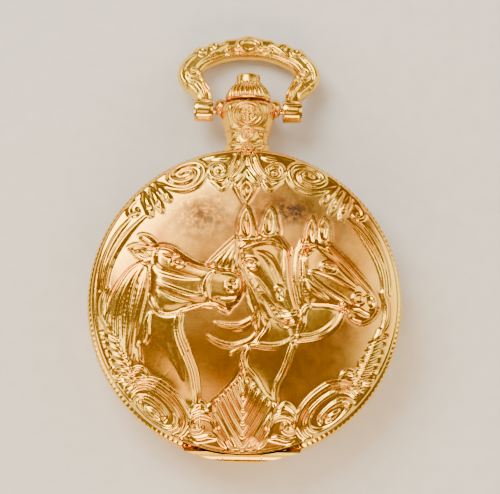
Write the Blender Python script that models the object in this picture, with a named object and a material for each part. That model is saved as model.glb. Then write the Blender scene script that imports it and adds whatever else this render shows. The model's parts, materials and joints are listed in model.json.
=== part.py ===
"""A hunter-cased quartz fob watch: hinged lid, swinging bow, crown with a push button, and a quartz movement.

The frame: the origin is the middle of the flat on the case back, +Z runs up through the dial to the lid,
and +Y runs to 12 o'clock, where the pendant and the bow are. Sizes below are in millimetres.
"""

import math

import bmesh
import bpy
from mathutils import Matrix, Vector

MM = 0.001

# Case, from the back up
CASE_RADIUS = 23.0
CASE_INNER_RADIUS = 19.3
BACK_TOP = 2.6
BAND_BOTTOM = 2.65
BAND_TOP = 7.9
AXIS_Z = 5.2  # height of the stem, the pendant and the bow's pivot
ROUND = 48  # sides of the large turned pieces

# Hinge and lid
HINGE_Y = -22.2
HINGE_Z = 8.0
KNUCKLE_RADIUS = 1.15
KNUCKLE_BORE = 0.45
HINGE_PIN_RADIUS = 0.4
HINGE_PIN_HALF = 4.7
HINGE_HALF_WIDTH = 8.35
LID_KNUCKLE_HALF = 2.7
HINGE_RECESS_Y = -20.75
HINGE_OUTER_RADIUS = 23.3
LID_RADIUS = 21.7
LID_BOTTOM = 8.25

# Pendant, crown and button, which share the axis x = 0, z = AXIS_Z
PENDANT_FLATTEN = 0.85
STEM_RADIUS = 0.5
STEM_BORE = 0.3
PUSH_ROD_RADIUS = 0.24
CROWN_BOTTOM = 30.3
CROWN_TOP = 33.3
CROWN_RADIUS = 3.35
CROWN_FLUTES = 24
BUTTON_RADIUS = 1.78
BUTTON_TOP = 34.7
BUTTON_SEAT = 31.9
COLLAR_Y = 20.2

# Bow
BOW_PIVOT_Y = 29.1
BOW_DROOP = math.radians(19.5)  # how far the bow hangs down when the watch lies on its back
BOW_HALF_THICKNESS = 1.25
BOW_PIN_RADIUS = 0.45

# Going train: centre distances follow from teeth and module
PINION_LEAVES = 6
ROTOR_MODULE, FIFTH_TEETH = 0.09, 30
FIFTH_MODULE, FOURTH_TEETH = 0.125, 36
FOURTH_MODULE, THIRD_TEETH = 0.1, 45
CENTER_TEETH = 48
CANNON_LEAVES, MINUTE_TEETH = 10, 30
MINUTE_LEAVES, HOUR_TEETH = 8, 32
SETTING_TEETH = 20
MOTION_MODULE = 0.12
ARBOR_RADIUS = 0.12
PIVOT_HOLE = 0.18

# Tooth shape, in modules and in shares of the pitch
TOOTH_DEPTH, TOOTH_HEIGHT = 1.15, 0.8
ROOT_SHARE, TIP_SHARE = 0.27, 0.12

# The time that the hands show: ten past ten
SHOWN_HOUR, SHOWN_MINUTE = 10, 10

ALONG_Z = Matrix.Identity(4)
ALONG_Y = Matrix.Rotation(-math.pi / 2, 4, "X")
ALONG_X = Matrix.Rotation(math.pi / 2, 4, "Y")


# ---------------------------------------------------------------- materials


def material(name, colour, metallic, roughness):
    """A plain Principled material."""
    made = bpy.data.materials.new(name)
    made.use_nodes = True
    shader = made.node_tree.nodes["Principled BSDF"]
    shader.inputs["Base Color"].default_value = (*colour, 1)
    shader.inputs["Metallic"].default_value = metallic
    shader.inputs["Roughness"].default_value = roughness
    return made


def make_materials():
    return {
        "gold": material("gold", (0.83, 0.56, 0.18), 1, 0.2),
        "steel": material("steel", (0.62, 0.62, 0.64), 1, 0.3),
        "wheel_brass": material("wheel_brass", (0.78, 0.6, 0.28), 1, 0.35),
        "copper": material("copper", (0.72, 0.36, 0.2), 1, 0.35),
        "white_plastic": material("white_plastic", (0.85, 0.85, 0.82), 0, 0.5),
        "black_plastic": material("black_plastic", (0.03, 0.03, 0.03), 0, 0.4),
        "green_board": material("green_board", (0.05, 0.25, 0.1), 0, 0.5),
        "rubber": material("rubber", (0.04, 0.04, 0.04), 0, 0.8),
        "dial": material("dial", (0.92, 0.9, 0.84), 0, 0.5),
        "hands": material("hands", (0.02, 0.02, 0.03), 0, 0.3),
        "glass": material("glass", (0.9, 0.95, 0.95), 0, 0.05),
    }


# ---------------------------------------------------------------- mesh tools


def add_object(name, bm, finish, location=(0, 0, 0), turn=ALONG_Z):
    """An object from a bmesh in millimetres, turned about its own origin and placed at location."""
    bmesh.ops.remove_doubles(bm, verts=bm.verts, dist=1e-5)
    bmesh.ops.recalc_face_normals(bm, faces=bm.faces)
    bmesh.ops.transform(bm, matrix=Matrix.Scale(MM, 4) @ turn, verts=bm.verts)
    mesh = bpy.data.meshes.new(name)
    bm.to_mesh(mesh)
    bm.free()
    mesh.shade_smooth()
    mesh.set_sharp_from_angle(angle=math.radians(35))
    mesh.materials.append(finish)
    made = bpy.data.objects.new(name, mesh)
    made.location = Vector(location) * MM
    bpy.context.scene.collection.objects.link(made)
    return made


def turned(name, profile, finish, sides=ROUND, location=(0, 0, 0), turn=ALONG_Z, shape=None):
    """A turned solid. Its (radius, height) profile is a closed outline, or runs from axis to axis."""
    bm = bmesh.new()
    points = [bm.verts.new((radius, 0, height)) for radius, height in profile]
    edges = [bm.edges.new(pair) for pair in zip(points, points[1:])]
    if profile[0][0] > 0:
        edges.append(bm.edges.new((points[-1], points[0])))
    bmesh.ops.spin(
        bm, geom=points + edges, axis=(0, 0, 1), cent=(0, 0, 0), angle=2 * math.pi, steps=sides,
        use_merge=True,
    )
    bmesh.ops.remove_doubles(bm, verts=bm.verts, dist=1e-5)
    if shape:
        for vert in bm.verts:
            vert.co = shape(vert.co)
    return add_object(name, bm, finish, location, turn)


def plate(name, outline, low, high, finish, location=(0, 0, 0), turn=ALONG_Z):
    """A flat plate: the outline's (x, y) points, extruded from low to high."""
    bm = bmesh.new()
    face = bm.faces.new([bm.verts.new((x, y, low)) for x, y in outline])
    raised = bmesh.ops.extrude_face_region(bm, geom=[face])["geom"]
    moved = [item for item in raised if isinstance(item, bmesh.types.BMVert)]
    bmesh.ops.translate(bm, verts=moved, vec=(0, 0, high - low))
    return add_object(name, bm, finish, location, turn)


def circle(radius, sides, centre=(0, 0), start=0.0):
    return [
        (centre[0] + radius * math.cos(start + 2 * math.pi * k / sides),
         centre[1] + radius * math.sin(start + 2 * math.pi * k / sides))
        for k in range(sides)
    ]


def sector(inner, outer, first_degrees, last_degrees, steps):
    """The outline of part of a ring."""
    step = (last_degrees - first_degrees) / steps
    angles = [math.radians(first_degrees + step * k) for k in range(steps + 1)]
    return [(outer * math.cos(a), outer * math.sin(a)) for a in angles] + [
        (inner * math.cos(a), inner * math.sin(a)) for a in reversed(angles)
    ]


def block(name, low, high, finish):
    """A box between two corners."""
    outline = [(low[0], low[1]), (high[0], low[1]), (high[0], high[1]), (low[0], high[1])]
    return plate(name, outline, low[2], high[2], finish)


def rod(name, radius, low, high, finish, sides=16, location=(0, 0, 0), turn=ALONG_Z):
    return plate(name, circle(radius, sides), low, high, finish, location, turn)


def as_helper(helper):
    """Hides an object that only cuts or joins."""
    helper.hide_render = True
    helper.display_type = "WIRE"
    return helper


def combine(target, others, operation):
    for other in others:
        boolean = target.modifiers.new(other.name, "BOOLEAN")
        boolean.operation = operation
        boolean.object = as_helper(other)
    return target


def cut(target, *cutters):
    return combine(target, cutters, "DIFFERENCE")


def join(target, *pieces):
    return combine(target, pieces, "UNION")


def pivot(name, location, turn_x=0.0):
    """An empty on a joint's axis."""
    empty = bpy.data.objects.new(name, None)
    empty.location = Vector(location) * MM
    empty.rotation_euler = (turn_x, 0, 0)
    bpy.context.scene.collection.objects.link(empty)
    return empty


def hang(empty, *pieces):
    """Parents pieces made in the watch's own frame to an empty, without moving them."""
    for piece in pieces:
        piece.location = piece.location - empty.location
        piece.parent = empty


# ---------------------------------------------------------------- gears


def gear_outline(teeth, module, turn):
    """Tapered teeth round a pitch circle. The first tooth points along turn."""
    root = module * (teeth / 2 - TOOTH_DEPTH)
    tip = module * (teeth / 2 + TOOTH_HEIGHT)
    pitch = 2 * math.pi / teeth
    corners = ((root, -ROOT_SHARE), (tip, -TIP_SHARE), (tip, TIP_SHARE), (root, ROOT_SHARE))
    outline = []
    for tooth in range(teeth):
        for radius, share in corners:
            angle = turn + (tooth + share) * pitch
            outline.append((radius * math.cos(angle), radius * math.sin(angle)))
    return outline


def meshed_turn(teeth, turn, direction, mate_teeth):
    """The mate's turn that puts its gap on this gear's tooth, for a mate that lies in the given direction."""
    pitch = 2 * math.pi / teeth
    offset = (turn - direction + pitch / 2) % pitch - pitch / 2
    return direction + math.pi - offset * teeth / mate_teeth + math.pi / mate_teeth


def polar(distance, degrees, start=(0, 0)):
    angle = math.radians(degrees)
    return (start[0] + distance * math.cos(angle), start[1] + distance * math.sin(angle))


THIRD_DISTANCE = FOURTH_MODULE * (PINION_LEAVES + THIRD_TEETH) / 2
CENTER_MODULE = 2 * THIRD_DISTANCE / (PINION_LEAVES + CENTER_TEETH)
THIRD_ANGLE, FIFTH_ANGLE, MINUTE_ANGLE, SETTING_ANGLE = 290, 130, 70, 110
THIRD_AT = polar(THIRD_DISTANCE, THIRD_ANGLE)
FIFTH_AT = polar(FIFTH_MODULE * (PINION_LEAVES + FOURTH_TEETH) / 2, FIFTH_ANGLE)
ROTOR_AT = polar(ROTOR_MODULE * (PINION_LEAVES + FIFTH_TEETH) / 2, FIFTH_ANGLE, FIFTH_AT)
MINUTE_AT = polar(MOTION_MODULE * (CANNON_LEAVES + MINUTE_TEETH) / 2, MINUTE_ANGLE)
SETTING_AT = polar(MOTION_MODULE * (MINUTE_TEETH + SETTING_TEETH) / 2, SETTING_ANGLE, MINUTE_AT)
SCREWS_AT = ((2.85, -5.88), (2.6, 3.9))


def gear(name, teeth, module, turn, low, high, finish, at):
    return plate(name, gear_outline(teeth, module, turn), low, high, finish, (*at, 0))


def wheel_on_arbor(name, at, wheel, pinion, arbor, finish):
    """A wheel and a pinion, each (teeth, module, turn, low, high), on an arbor (radius, low, high)."""
    made = gear(name, *wheel, finish, at)
    leaves = gear(name + "_leaves", *pinion, finish, at)
    radius, low, high = arbor
    shaft = rod(name + "_arbor", radius, low, high, finish, 12, (*at, 0))
    return join(made, leaves, shaft)


def make_train(finish):
    """The wheels from the rotor to the hour wheel, in mesh at rest."""
    brass, steel = finish["wheel_brass"], finish["steel"]
    to_third = math.radians(THIRD_ANGLE)
    from_fifth = math.radians(FIFTH_ANGLE + 180)
    to_minute = math.radians(MINUTE_ANGLE)
    to_setting = math.radians(SETTING_ANGLE)

    rotor = wheel_on_arbor(
        "rotor", ROTOR_AT,
        (PINION_LEAVES, ROTOR_MODULE, from_fifth, 3.75, 4.05),
        (PINION_LEAVES, ROTOR_MODULE, from_fifth, 3.8, 4.0),
        (ARBOR_RADIUS, 3.05, 5.6), steel,
    )
    join(rotor, rod("rotor_magnet", 0.6, 4.35, 4.85, steel, 16, (*ROTOR_AT, 0)))

    fifth_turn = meshed_turn(PINION_LEAVES, from_fifth, from_fifth, FIFTH_TEETH)
    wheel_on_arbor(
        "fifth_wheel", FIFTH_AT,
        (FIFTH_TEETH, ROTOR_MODULE, fifth_turn, 3.8, 3.95),
        (PINION_LEAVES, FIFTH_MODULE, from_fifth, 3.4, 3.82),
        (ARBOR_RADIUS, 3.05, 5.6), brass,
    )

    fourth_turn = meshed_turn(PINION_LEAVES, from_fifth, from_fifth, FOURTH_TEETH)
    wheel_on_arbor(
        "seconds_wheel", (0, 0),
        (FOURTH_TEETH, FIFTH_MODULE, fourth_turn, 3.5, 3.65),
        (PINION_LEAVES, FOURTH_MODULE, to_third, 3.62, 4.0),
        (0.13, 3.05, 8.15), brass,
    )

    third_turn = meshed_turn(PINION_LEAVES, to_third, to_third, THIRD_TEETH)
    wheel_on_arbor(
        "third_wheel", THIRD_AT,
        (THIRD_TEETH, FOURTH_MODULE, third_turn, 3.8, 3.95),
        (PINION_LEAVES, CENTER_MODULE, to_third + math.pi, 3.92, 4.35),
        (ARBOR_RADIUS, 3.05, 5.6), brass,
    )

    center_turn = meshed_turn(PINION_LEAVES, to_third + math.pi, to_third + math.pi, CENTER_TEETH)
    center = wheel_on_arbor(
        "center_wheel", (0, 0),
        (CENTER_TEETH, CENTER_MODULE, center_turn, 4.15, 4.3),
        (CANNON_LEAVES, MOTION_MODULE, to_minute, 5.93, 6.15),
        (0.42, 4.1, 7.85), brass,
    )
    cut(center, rod("center_bore", 0.22, 4.0, 8.0, brass, 12))

    minute_turn = meshed_turn(CANNON_LEAVES, to_minute, to_minute, MINUTE_TEETH)
    wheel_on_arbor(
        "minute_wheel", MINUTE_AT,
        (MINUTE_TEETH, MOTION_MODULE, minute_turn, 5.95, 6.1),
        (MINUTE_LEAVES, MOTION_MODULE, to_minute + math.pi, 6.08, 6.45),
        (ARBOR_RADIUS, 5.25, 6.55), brass,
    )

    hour_turn = meshed_turn(MINUTE_LEAVES, to_minute + math.pi, to_minute + math.pi, HOUR_TEETH)
    hour = gear("hour_wheel", HOUR_TEETH, MOTION_MODULE, hour_turn, 6.25, 6.4, brass, (0, 0))
    join(hour, rod("hour_pipe", 0.75, 6.22, 7.5, brass))
    cut(hour, rod("hour_bore", 0.5, 6.0, 8.0, brass))

    setting_turn = meshed_turn(MINUTE_TEETH, minute_turn, to_setting, SETTING_TEETH)
    setting = gear("setting_wheel", SETTING_TEETH, MOTION_MODULE, setting_turn, 5.95, 6.1, steel, SETTING_AT)
    join(setting, rod("setting_arbor", ARBOR_RADIUS, 5.25, 6.4, steel, 12, (*SETTING_AT, 0)))


# ---------------------------------------------------------------- hands


def hand(name, stations, hub_radius, hub_hole, low, high, clock_angle, finish):
    """A hand that tapers through (distance, half width) stations, turned clockwise from 12 by clock_angle."""
    left = [(-half, distance) for distance, half in stations]
    right = [(half, distance) for distance, half in reversed(stations)]
    made = plate(name, left + right, low, high, finish)
    join(made, rod(name + "_hub", hub_radius, low, high, finish, 20))
    cut(made, rod(name + "_hole", hub_hole, low - 1, high + 1, finish, 20))
    pieces = [made, bpy.data.objects[name + "_hub"], bpy.data.objects[name + "_hole"]]
    for piece in pieces:
        piece.rotation_euler = (0, 0, -clock_angle)
    return made


def make_hands(finish):
    minute_angle = 2 * math.pi * SHOWN_MINUTE / 60
    hour_angle = 2 * math.pi * (SHOWN_HOUR + SHOWN_MINUTE / 60) / 12
    ink = finish["hands"]
    hour_shape = [(-2.2, 0.35), (0.9, 0.45), (5.5, 0.75), (8.6, 0.12)]
    minute_shape = [(-2.6, 0.3), (0.7, 0.38), (8.5, 0.6), (13.4, 0.1)]
    second_shape = [(-4.2, 0.28), (-1.0, 0.1), (14.2, 0.05)]
    hand("hour_hand", hour_shape, 1.25, 0.8, 7.25, 7.4, hour_angle, ink)
    hand("minute_hand", minute_shape, 0.95, 0.47, 7.6, 7.75, minute_angle, ink)
    hand("second_hand", second_shape, 0.55, 0.16, 7.95, 8.05, 0.0, ink)


# ---------------------------------------------------------------- case


CASE_OUTSIDE = [
    (21.9, BAND_BOTTOM), (22.6, 3.3), (CASE_RADIUS, 4.3), (CASE_RADIUS, 6.3), (22.6, 7.2), (22.0, BAND_TOP),
]


def stem_bore(name, radius, first, last, finish):
    """A cutter along the stem's axis."""
    return rod(name, radius, first, last, finish, 24, (0, 0, AXIS_Z), ALONG_Y)


def make_case(finish):
    gold = finish["gold"]
    groove = [(19.85, BAND_BOTTOM), (19.85, 3.15), (20.75, 3.15), (20.75, BAND_BOTTOM)]
    crystal_seat = [(19.85, BAND_TOP), (19.85, 7.05), (CASE_INNER_RADIUS, 7.05)]
    middle = turned(
        "case_middle", [(CASE_INNER_RADIUS, BAND_BOTTOM), *groove, *CASE_OUTSIDE, *crystal_seat], gold
    )
    recess_half = HINGE_HALF_WIDTH + 0.25
    recess = block("hinge_recess", (-recess_half, -26, 6.55), (recess_half, HINGE_RECESS_Y, 9), gold)
    cut(middle, recess, stem_bore("case_stem_hole", 1.3, 18, 25, gold))

    turned(
        "back_cover",
        [
            (0, 0), (13, 0), (16, 0.2), (19, 0.8), (21, 1.7), (21.8, 2.4), (21.8, BACK_TOP),
            (19.2, BACK_TOP), (19.2, 3.3), (18.4, 3.3), (18.1, 2.0), (16, 1.2), (13, 0.9), (0, 0.9),
        ],
        gold,
    )
    turned("back_gasket", [(19.95, 2.7), (20.65, 2.7), (20.65, 3.1), (19.95, 3.1)], finish["rubber"], 40)

    bezel = turned(
        "crystal_bezel",
        [(17.6, 7.1), (19.75, 7.1), (19.75, 8.15), (19.4, 8.4), (18.5, 8.4), (18.5, 7.75), (17.6, 7.5)],
        gold,
    )
    cut(bezel, block("catch_slot", (-1.5, 18.52, 6.8), (1.5, 20.5, 8.9), gold))
    turned(
        "crystal",
        [(0, 9.0), (6, 8.9), (12, 8.6), (18.2, 7.85), (18.2, 8.5), (12, 9.45), (6, 9.85), (0, 9.95)],
        finish["glass"],
    )
    gasket = [(18.25, 7.85), (18.45, 7.85), (18.45, 8.35), (18.25, 8.35)]
    turned("crystal_gasket", gasket, finish["white_plastic"], 40)
    turned("dial", [(0.95, 6.7), (18.2, 6.7), (18.2, 7.0), (0.95, 7.0)], finish["dial"])


def make_springs(finish):
    """The lid's catch at 12 o'clock and its lifting spring at 6 o'clock."""
    steel = finish["steel"]
    catch = plate("lid_catch", sector(18.95, 19.2, 74, 106, 8), 3.45, 6.7, steel)
    nib = block("catch_nib", (-1.2, 19.0, 6.0), (1.2, 19.2, 9.2), steel)
    hook = block("catch_hook", (-1.2, 19.1, 8.98), (1.2, 19.8, 9.2), steel)
    join(catch, nib, hook)
    cut(catch, stem_bore("catch_stem_hole", 0.75, 18, 20, steel))

    lift = plate("lift_spring", sector(18.7, 18.95, 232, 308, 16), 3.45, 4.9, steel)
    join(lift, block("lift_finger", (-0.8, -18.93, 4.5), (0.8, -18.73, 6.9), steel))


def hinge_knuckle(name, first, last, finish):
    """A hollow barrel on the hinge's axis from x = first to x = last."""
    return rod(name, KNUCKLE_RADIUS, first, last, finish, 20, (0, HINGE_Y, HINGE_Z), ALONG_X)


def make_hinge_and_lid(finish):
    gold = finish["gold"]
    inner = LID_KNUCKLE_HALF + 0.12
    for side, name in ((-1, "case_knuckle_left"), (1, "case_knuckle_right")):
        first, last = sorted((side * inner, side * HINGE_HALF_WIDTH))
        knuckle = hinge_knuckle(name, first, last, gold)
        foot = block(name + "_foot", (first, -23.6, 6.6), (last, -21.2, HINGE_Z), gold)
        limit = turned(
            name + "_limit", [(0, 6), (HINGE_OUTER_RADIUS, 6), (HINGE_OUTER_RADIUS, 10), (0, 10)], gold, 96
        )
        join(knuckle, foot)
        combine(knuckle, [limit], "INTERSECT")
        bore_first, bore_last = sorted((side * 2.0, side * (HINGE_PIN_HALF + 0.12)))
        at = (0, HINGE_Y, HINGE_Z)
        bore = rod(name + "_bore", KNUCKLE_BORE, bore_first, bore_last, gold, 16, at, ALONG_X)
        cut(knuckle, bore)
    rod(
        "hinge_pin", HINGE_PIN_RADIUS, -HINGE_PIN_HALF, HINGE_PIN_HALF, finish["steel"], 16,
        (0, HINGE_Y, HINGE_Z), ALONG_X,
    )

    cover = turned(
        "lid_cover",
        [
            (0, 12.8), (5, 12.75), (11, 12.4), (16, 11.75), (19.5, 10.85), (21.1, 10.0), (21.65, 9.3),
            (LID_RADIUS, 8.8), (LID_RADIUS, LID_BOTTOM), (21.4, LID_BOTTOM), (21.35, 9.0), (20.4, 9.65),
            (19, 10.15), (16, 10.95), (11, 11.5), (5, 11.8), (0, 11.85),
        ],
        gold,
    )
    notch_half = HINGE_HALF_WIDTH + 0.3
    notch = block("lid_notch", (-notch_half, -26, 7.5), (notch_half, HINGE_RECESS_Y, 9.3), gold)
    cut(cover, notch)

    rim = turned("lid_rim", [(19.9, LID_BOTTOM), (21.3, LID_BOTTOM), (21.3, 8.9), (19.9, 8.9)], gold)
    rim_notch = block("rim_notch", (-notch_half, -26, 7.5), (notch_half, HINGE_RECESS_Y, 9.6), gold)
    knuckle = hinge_knuckle("lid_knuckle", -LID_KNUCKLE_HALF, LID_KNUCKLE_HALF, gold)
    web_low, web_high = (-LID_KNUCKLE_HALF, -21.9, LID_BOTTOM), (LID_KNUCKLE_HALF, -20.3, 8.88)
    web = block("knuckle_web", web_low, web_high, gold)
    bore = rod("lid_knuckle_bore", KNUCKLE_BORE, -5, 5, gold, 16, (0, HINGE_Y, HINGE_Z), ALONG_X)
    cut(rim, rim_notch)
    join(rim, knuckle, web)
    cut(rim, bore)
    hang(pivot("lid_hinge_axis", (0, HINGE_Y, HINGE_Z)), cover, rim)


# ---------------------------------------------------------------- pendant and bow


def make_pendant(finish):
    gold = finish["gold"]
    profile = [
        (0, 21.5), (3.5, 21.5), (3.42, 23.6), (3.3, 24.6), (3.3, 25.6), (3.55, 26.6), (4.05, 27.8),
        (4.3, 28.8), (4.2, 29.5), (3.7, 30.0), (3.3, 29.7), (0, 29.4),
    ]

    def flattened(point):
        # The turned height becomes world Y and the first axis across it world Z, once it lies along Y.
        return Vector((point.x, point.y * PENDANT_FLATTEN, point.z))

    pendant = turned("pendant", profile, gold, 32, (0, 0, AXIS_Z), ALONG_Y, flattened)
    envelope = turned(
        "case_envelope", [(0, 0), (21.96, 0), *((r + 0.06, z) for r, z in CASE_OUTSIDE), (22.06, 12), (0, 12)],
        gold, 96,
    )
    bosses = [
        turned(
            f"pendant_boss_{side}", [(0, 3.45), (1.25, 3.45), (1.25, 4.4), (1.0, 4.8), (0, 4.8)], gold, 20,
            (0, BOW_PIVOT_Y, AXIS_Z), ALONG_X if side > 0 else Matrix.Rotation(math.pi, 4, "Z") @ ALONG_X,
        )
        for side in (1, -1)
    ]
    cut(pendant, envelope)
    join(pendant, *bosses)
    cut(pendant, stem_bore("pendant_bore", 1.4, 20, 31, gold))
    for side in (1, -1):
        first, last = sorted((side * 3.6, side * 5.2))
        cut(pendant, rod(
            f"pendant_pin_hole_{side}", 0.5, first, last, gold, 16, (0, BOW_PIVOT_Y, AXIS_Z), ALONG_X
        ))
    turned(
        "pendant_tube", [(0.6, 21.5), (1.25, 21.5), (1.25, 29.2), (0.6, 29.2)], finish["steel"], 24,
        (0, 0, AXIS_Z), ALONG_Y,
    )


# (x, distance from the pivot, half width), from the right lug to the top
BOW_PATH = [
    (6.6, 0.6, 1.2), (6.6, 1.7, 1.3), (6.9, 2.8, 1.5), (7.6, 3.9, 1.75), (8.4, 4.9, 1.95),
    (8.75, 6.1, 2.0), (8.35, 7.3, 1.95), (7.2, 8.5, 1.75), (5.6, 9.4, 1.65), (3.7, 10.1, 1.65),
    (1.9, 10.6, 1.7), (0, 10.75, 1.75),
]


def make_bow(finish):
    gold = finish["gold"]
    stations = BOW_PATH + [(-x, along, half) for x, along, half in reversed(BOW_PATH[:-1])]
    centres = [Vector((x, along, 0)) for x, along, _ in stations]
    bm = bmesh.new()
    rings = []
    for k, (_, _, half) in enumerate(stations):
        ahead = centres[min(k + 1, len(centres) - 1)] - centres[max(k - 1, 0)]
        across = Vector((ahead.y, -ahead.x, 0)).normalized()
        ring = []
        for corner in range(10):
            angle = 2 * math.pi * (corner + 0.5) / 10
            reach = (abs(math.cos(angle)) ** 3 + abs(math.sin(angle)) ** 3) ** (-1 / 3)
            point = centres[k] + across * (half * reach * math.cos(angle))
            point.z = BOW_HALF_THICKNESS * reach * math.sin(angle)
            ring.append(bm.verts.new(point))
        rings.append(ring)
    for first, second in zip(rings, rings[1:]):
        for k in range(len(first)):
            following = (k + 1) % len(first)
            bm.faces.new((first[k], first[following], second[following], second[k]))
    bm.faces.new(rings[0])
    bm.faces.new(list(reversed(rings[-1])))
    bow = add_object("bow", bm, gold)
    axis = pivot("bow_axis", (0, BOW_PIVOT_Y, AXIS_Z), -BOW_DROOP)
    bow.parent = axis
    for side in (1, -1):
        lug_turn = ALONG_X if side > 0 else Matrix.Rotation(math.pi, 4, "Z") @ ALONG_X
        lug = turned(
            f"bow_lug_{side}", [(0, 5.15), (1.45, 5.15), (1.6, 5.4), (1.6, 7.8), (1.4, 8.05), (0, 8.05)],
            gold, 24, turn=lug_turn,
        )
        bore = rod(f"bow_lug_bore_{side}", 0.52, 4, 9, gold, 16, turn=lug_turn)
        sink = rod(f"bow_lug_sink_{side}", 0.95, 7.45, 9, gold, 20, turn=lug_turn)
        for helper in (lug, bore, sink):
            helper.parent = axis
        join(bow, lug)
        cut(bow, bore, sink)
        turned(
            "bow_pin_right" if side > 0 else "bow_pin_left",
            [
                (0, 3.7), (BOW_PIN_RADIUS, 3.7), (BOW_PIN_RADIUS, 7.55), (0.85, 7.55), (0.85, 7.8),
                (0.5, 8.0), (0, 8.05),
            ],
            finish["steel"], 16, (0, BOW_PIVOT_Y, AXIS_Z), lug_turn,
        )


# ---------------------------------------------------------------- crown, stem and button


def fluted(point):
    """Presses flutes into the crown's outer side."""
    radius = math.hypot(point.x, point.y)
    if radius < 2.2:
        return point
    angle = math.atan2(point.y, point.x)
    scale = 1 - 0.035 * (1 - math.cos(CROWN_FLUTES * angle)) / 2
    return Vector((point.x * scale, point.y * scale, point.z))


def make_crown(finish):
    gold, steel = finish["gold"], finish["steel"]
    on_axis = {"location": (0, 0, AXIS_Z), "turn": ALONG_Y}
    turned(
        "crown",
        [
            (0.55, CROWN_BOTTOM), (3.0, CROWN_BOTTOM), (CROWN_RADIUS, 30.7), (CROWN_RADIUS, 31.6),
            (3.05, 32.4), (2.5, 33.0), (2.05, CROWN_TOP), (1.87, CROWN_TOP), (1.87, BUTTON_SEAT),
            (0.55, BUTTON_SEAT),
        ],
        gold, 2 * CROWN_FLUTES, shape=fluted, **on_axis,
    )
    stem = turned(
        "stem",
        [
            (STEM_BORE, 6.2), (STEM_RADIUS, 6.2), (STEM_RADIUS, 8.1), (0.38, 8.1), (0.38, 8.7),
            (STEM_RADIUS, 8.7),
            (STEM_RADIUS, BUTTON_SEAT - 0.1), (STEM_BORE, BUTTON_SEAT - 0.1),
        ],
        steel, 16, **on_axis,
    )
    slot = block("stem_slot", (-2, 18.9, AXIS_Z - 0.22), (2, COLLAR_Y + 0.4, AXIS_Z + 0.22), steel)
    cut(stem, slot)

    clutch = plate("clutch_pinion", gear_outline(12, 0.14, 0), 6.6, 7.5, steel, **on_axis)
    cut(clutch, rod("clutch_bore", 0.55, 6, 8, steel, 16, **on_axis))

    button = turned(
        "push_button",
        [
            (0, BUTTON_TOP), (1.45, BUTTON_TOP), (BUTTON_RADIUS, 34.35), (BUTTON_RADIUS, 33.05),
            (PUSH_ROD_RADIUS, 33.05), (PUSH_ROD_RADIUS, 19.7), (0, 19.7),
        ],
        gold, 24, **on_axis,
    )
    pin_low, pin_high = (-1.1, COLLAR_Y - 0.14, AXIS_Z - 0.14), (1.1, COLLAR_Y + 0.14, AXIS_Z + 0.14)
    join(button, block("cross_pin", pin_low, pin_high, steel))
    collar = turned(
        "pusher_collar",
        [(0.6, COLLAR_Y - 0.3), (1.18, COLLAR_Y - 0.3), (1.18, COLLAR_Y + 0.3), (0.6, COLLAR_Y + 0.3)],
        steel, 20, **on_axis,
    )
    cut(collar, rod("collar_hole", 0.22, -2, 2, steel, 12, (0, COLLAR_Y, AXIS_Z), ALONG_X))
    make_button_spring(steel)

    lever_shape = [(-3.4, 7.6), (-2.6, 7.0), (0.9, 7.9), (0.9, 8.9), (-2.8, 8.7)]
    lever = plate("setting_lever", lever_shape, 6.3, 6.5, steel)
    join(lever, rod("lever_pin", 0.2, 5.64, 6.4, steel, 12, (0, 8.4, 0)))


def make_button_spring(finish):
    """A coil between the button and its seat in the crown."""
    turns, per_turn, coil_radius, wire_radius = 2.5, 12, 1.1, 0.13
    first, last = BUTTON_SEAT + 0.2, 32.85
    curve = bpy.data.curves.new("button_spring", "CURVE")
    curve.dimensions = "3D"
    curve.bevel_depth = wire_radius * MM
    curve.bevel_resolution = 1
    curve.use_fill_caps = True
    steps = int(turns * per_turn)
    line = curve.splines.new("POLY")
    line.points.add(steps)
    for k, point in enumerate(line.points):
        angle = 2 * math.pi * k / per_turn
        along = first + (last - first) * k / steps
        point.co = (coil_radius * math.cos(angle) * MM, along * MM, coil_radius * math.sin(angle) * MM, 1)
    curve.materials.append(finish)
    spring = bpy.data.objects.new("button_spring", curve)
    spring.location = (0, 0, AXIS_Z * MM)
    bpy.context.scene.collection.objects.link(spring)


# ---------------------------------------------------------------- movement


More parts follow.
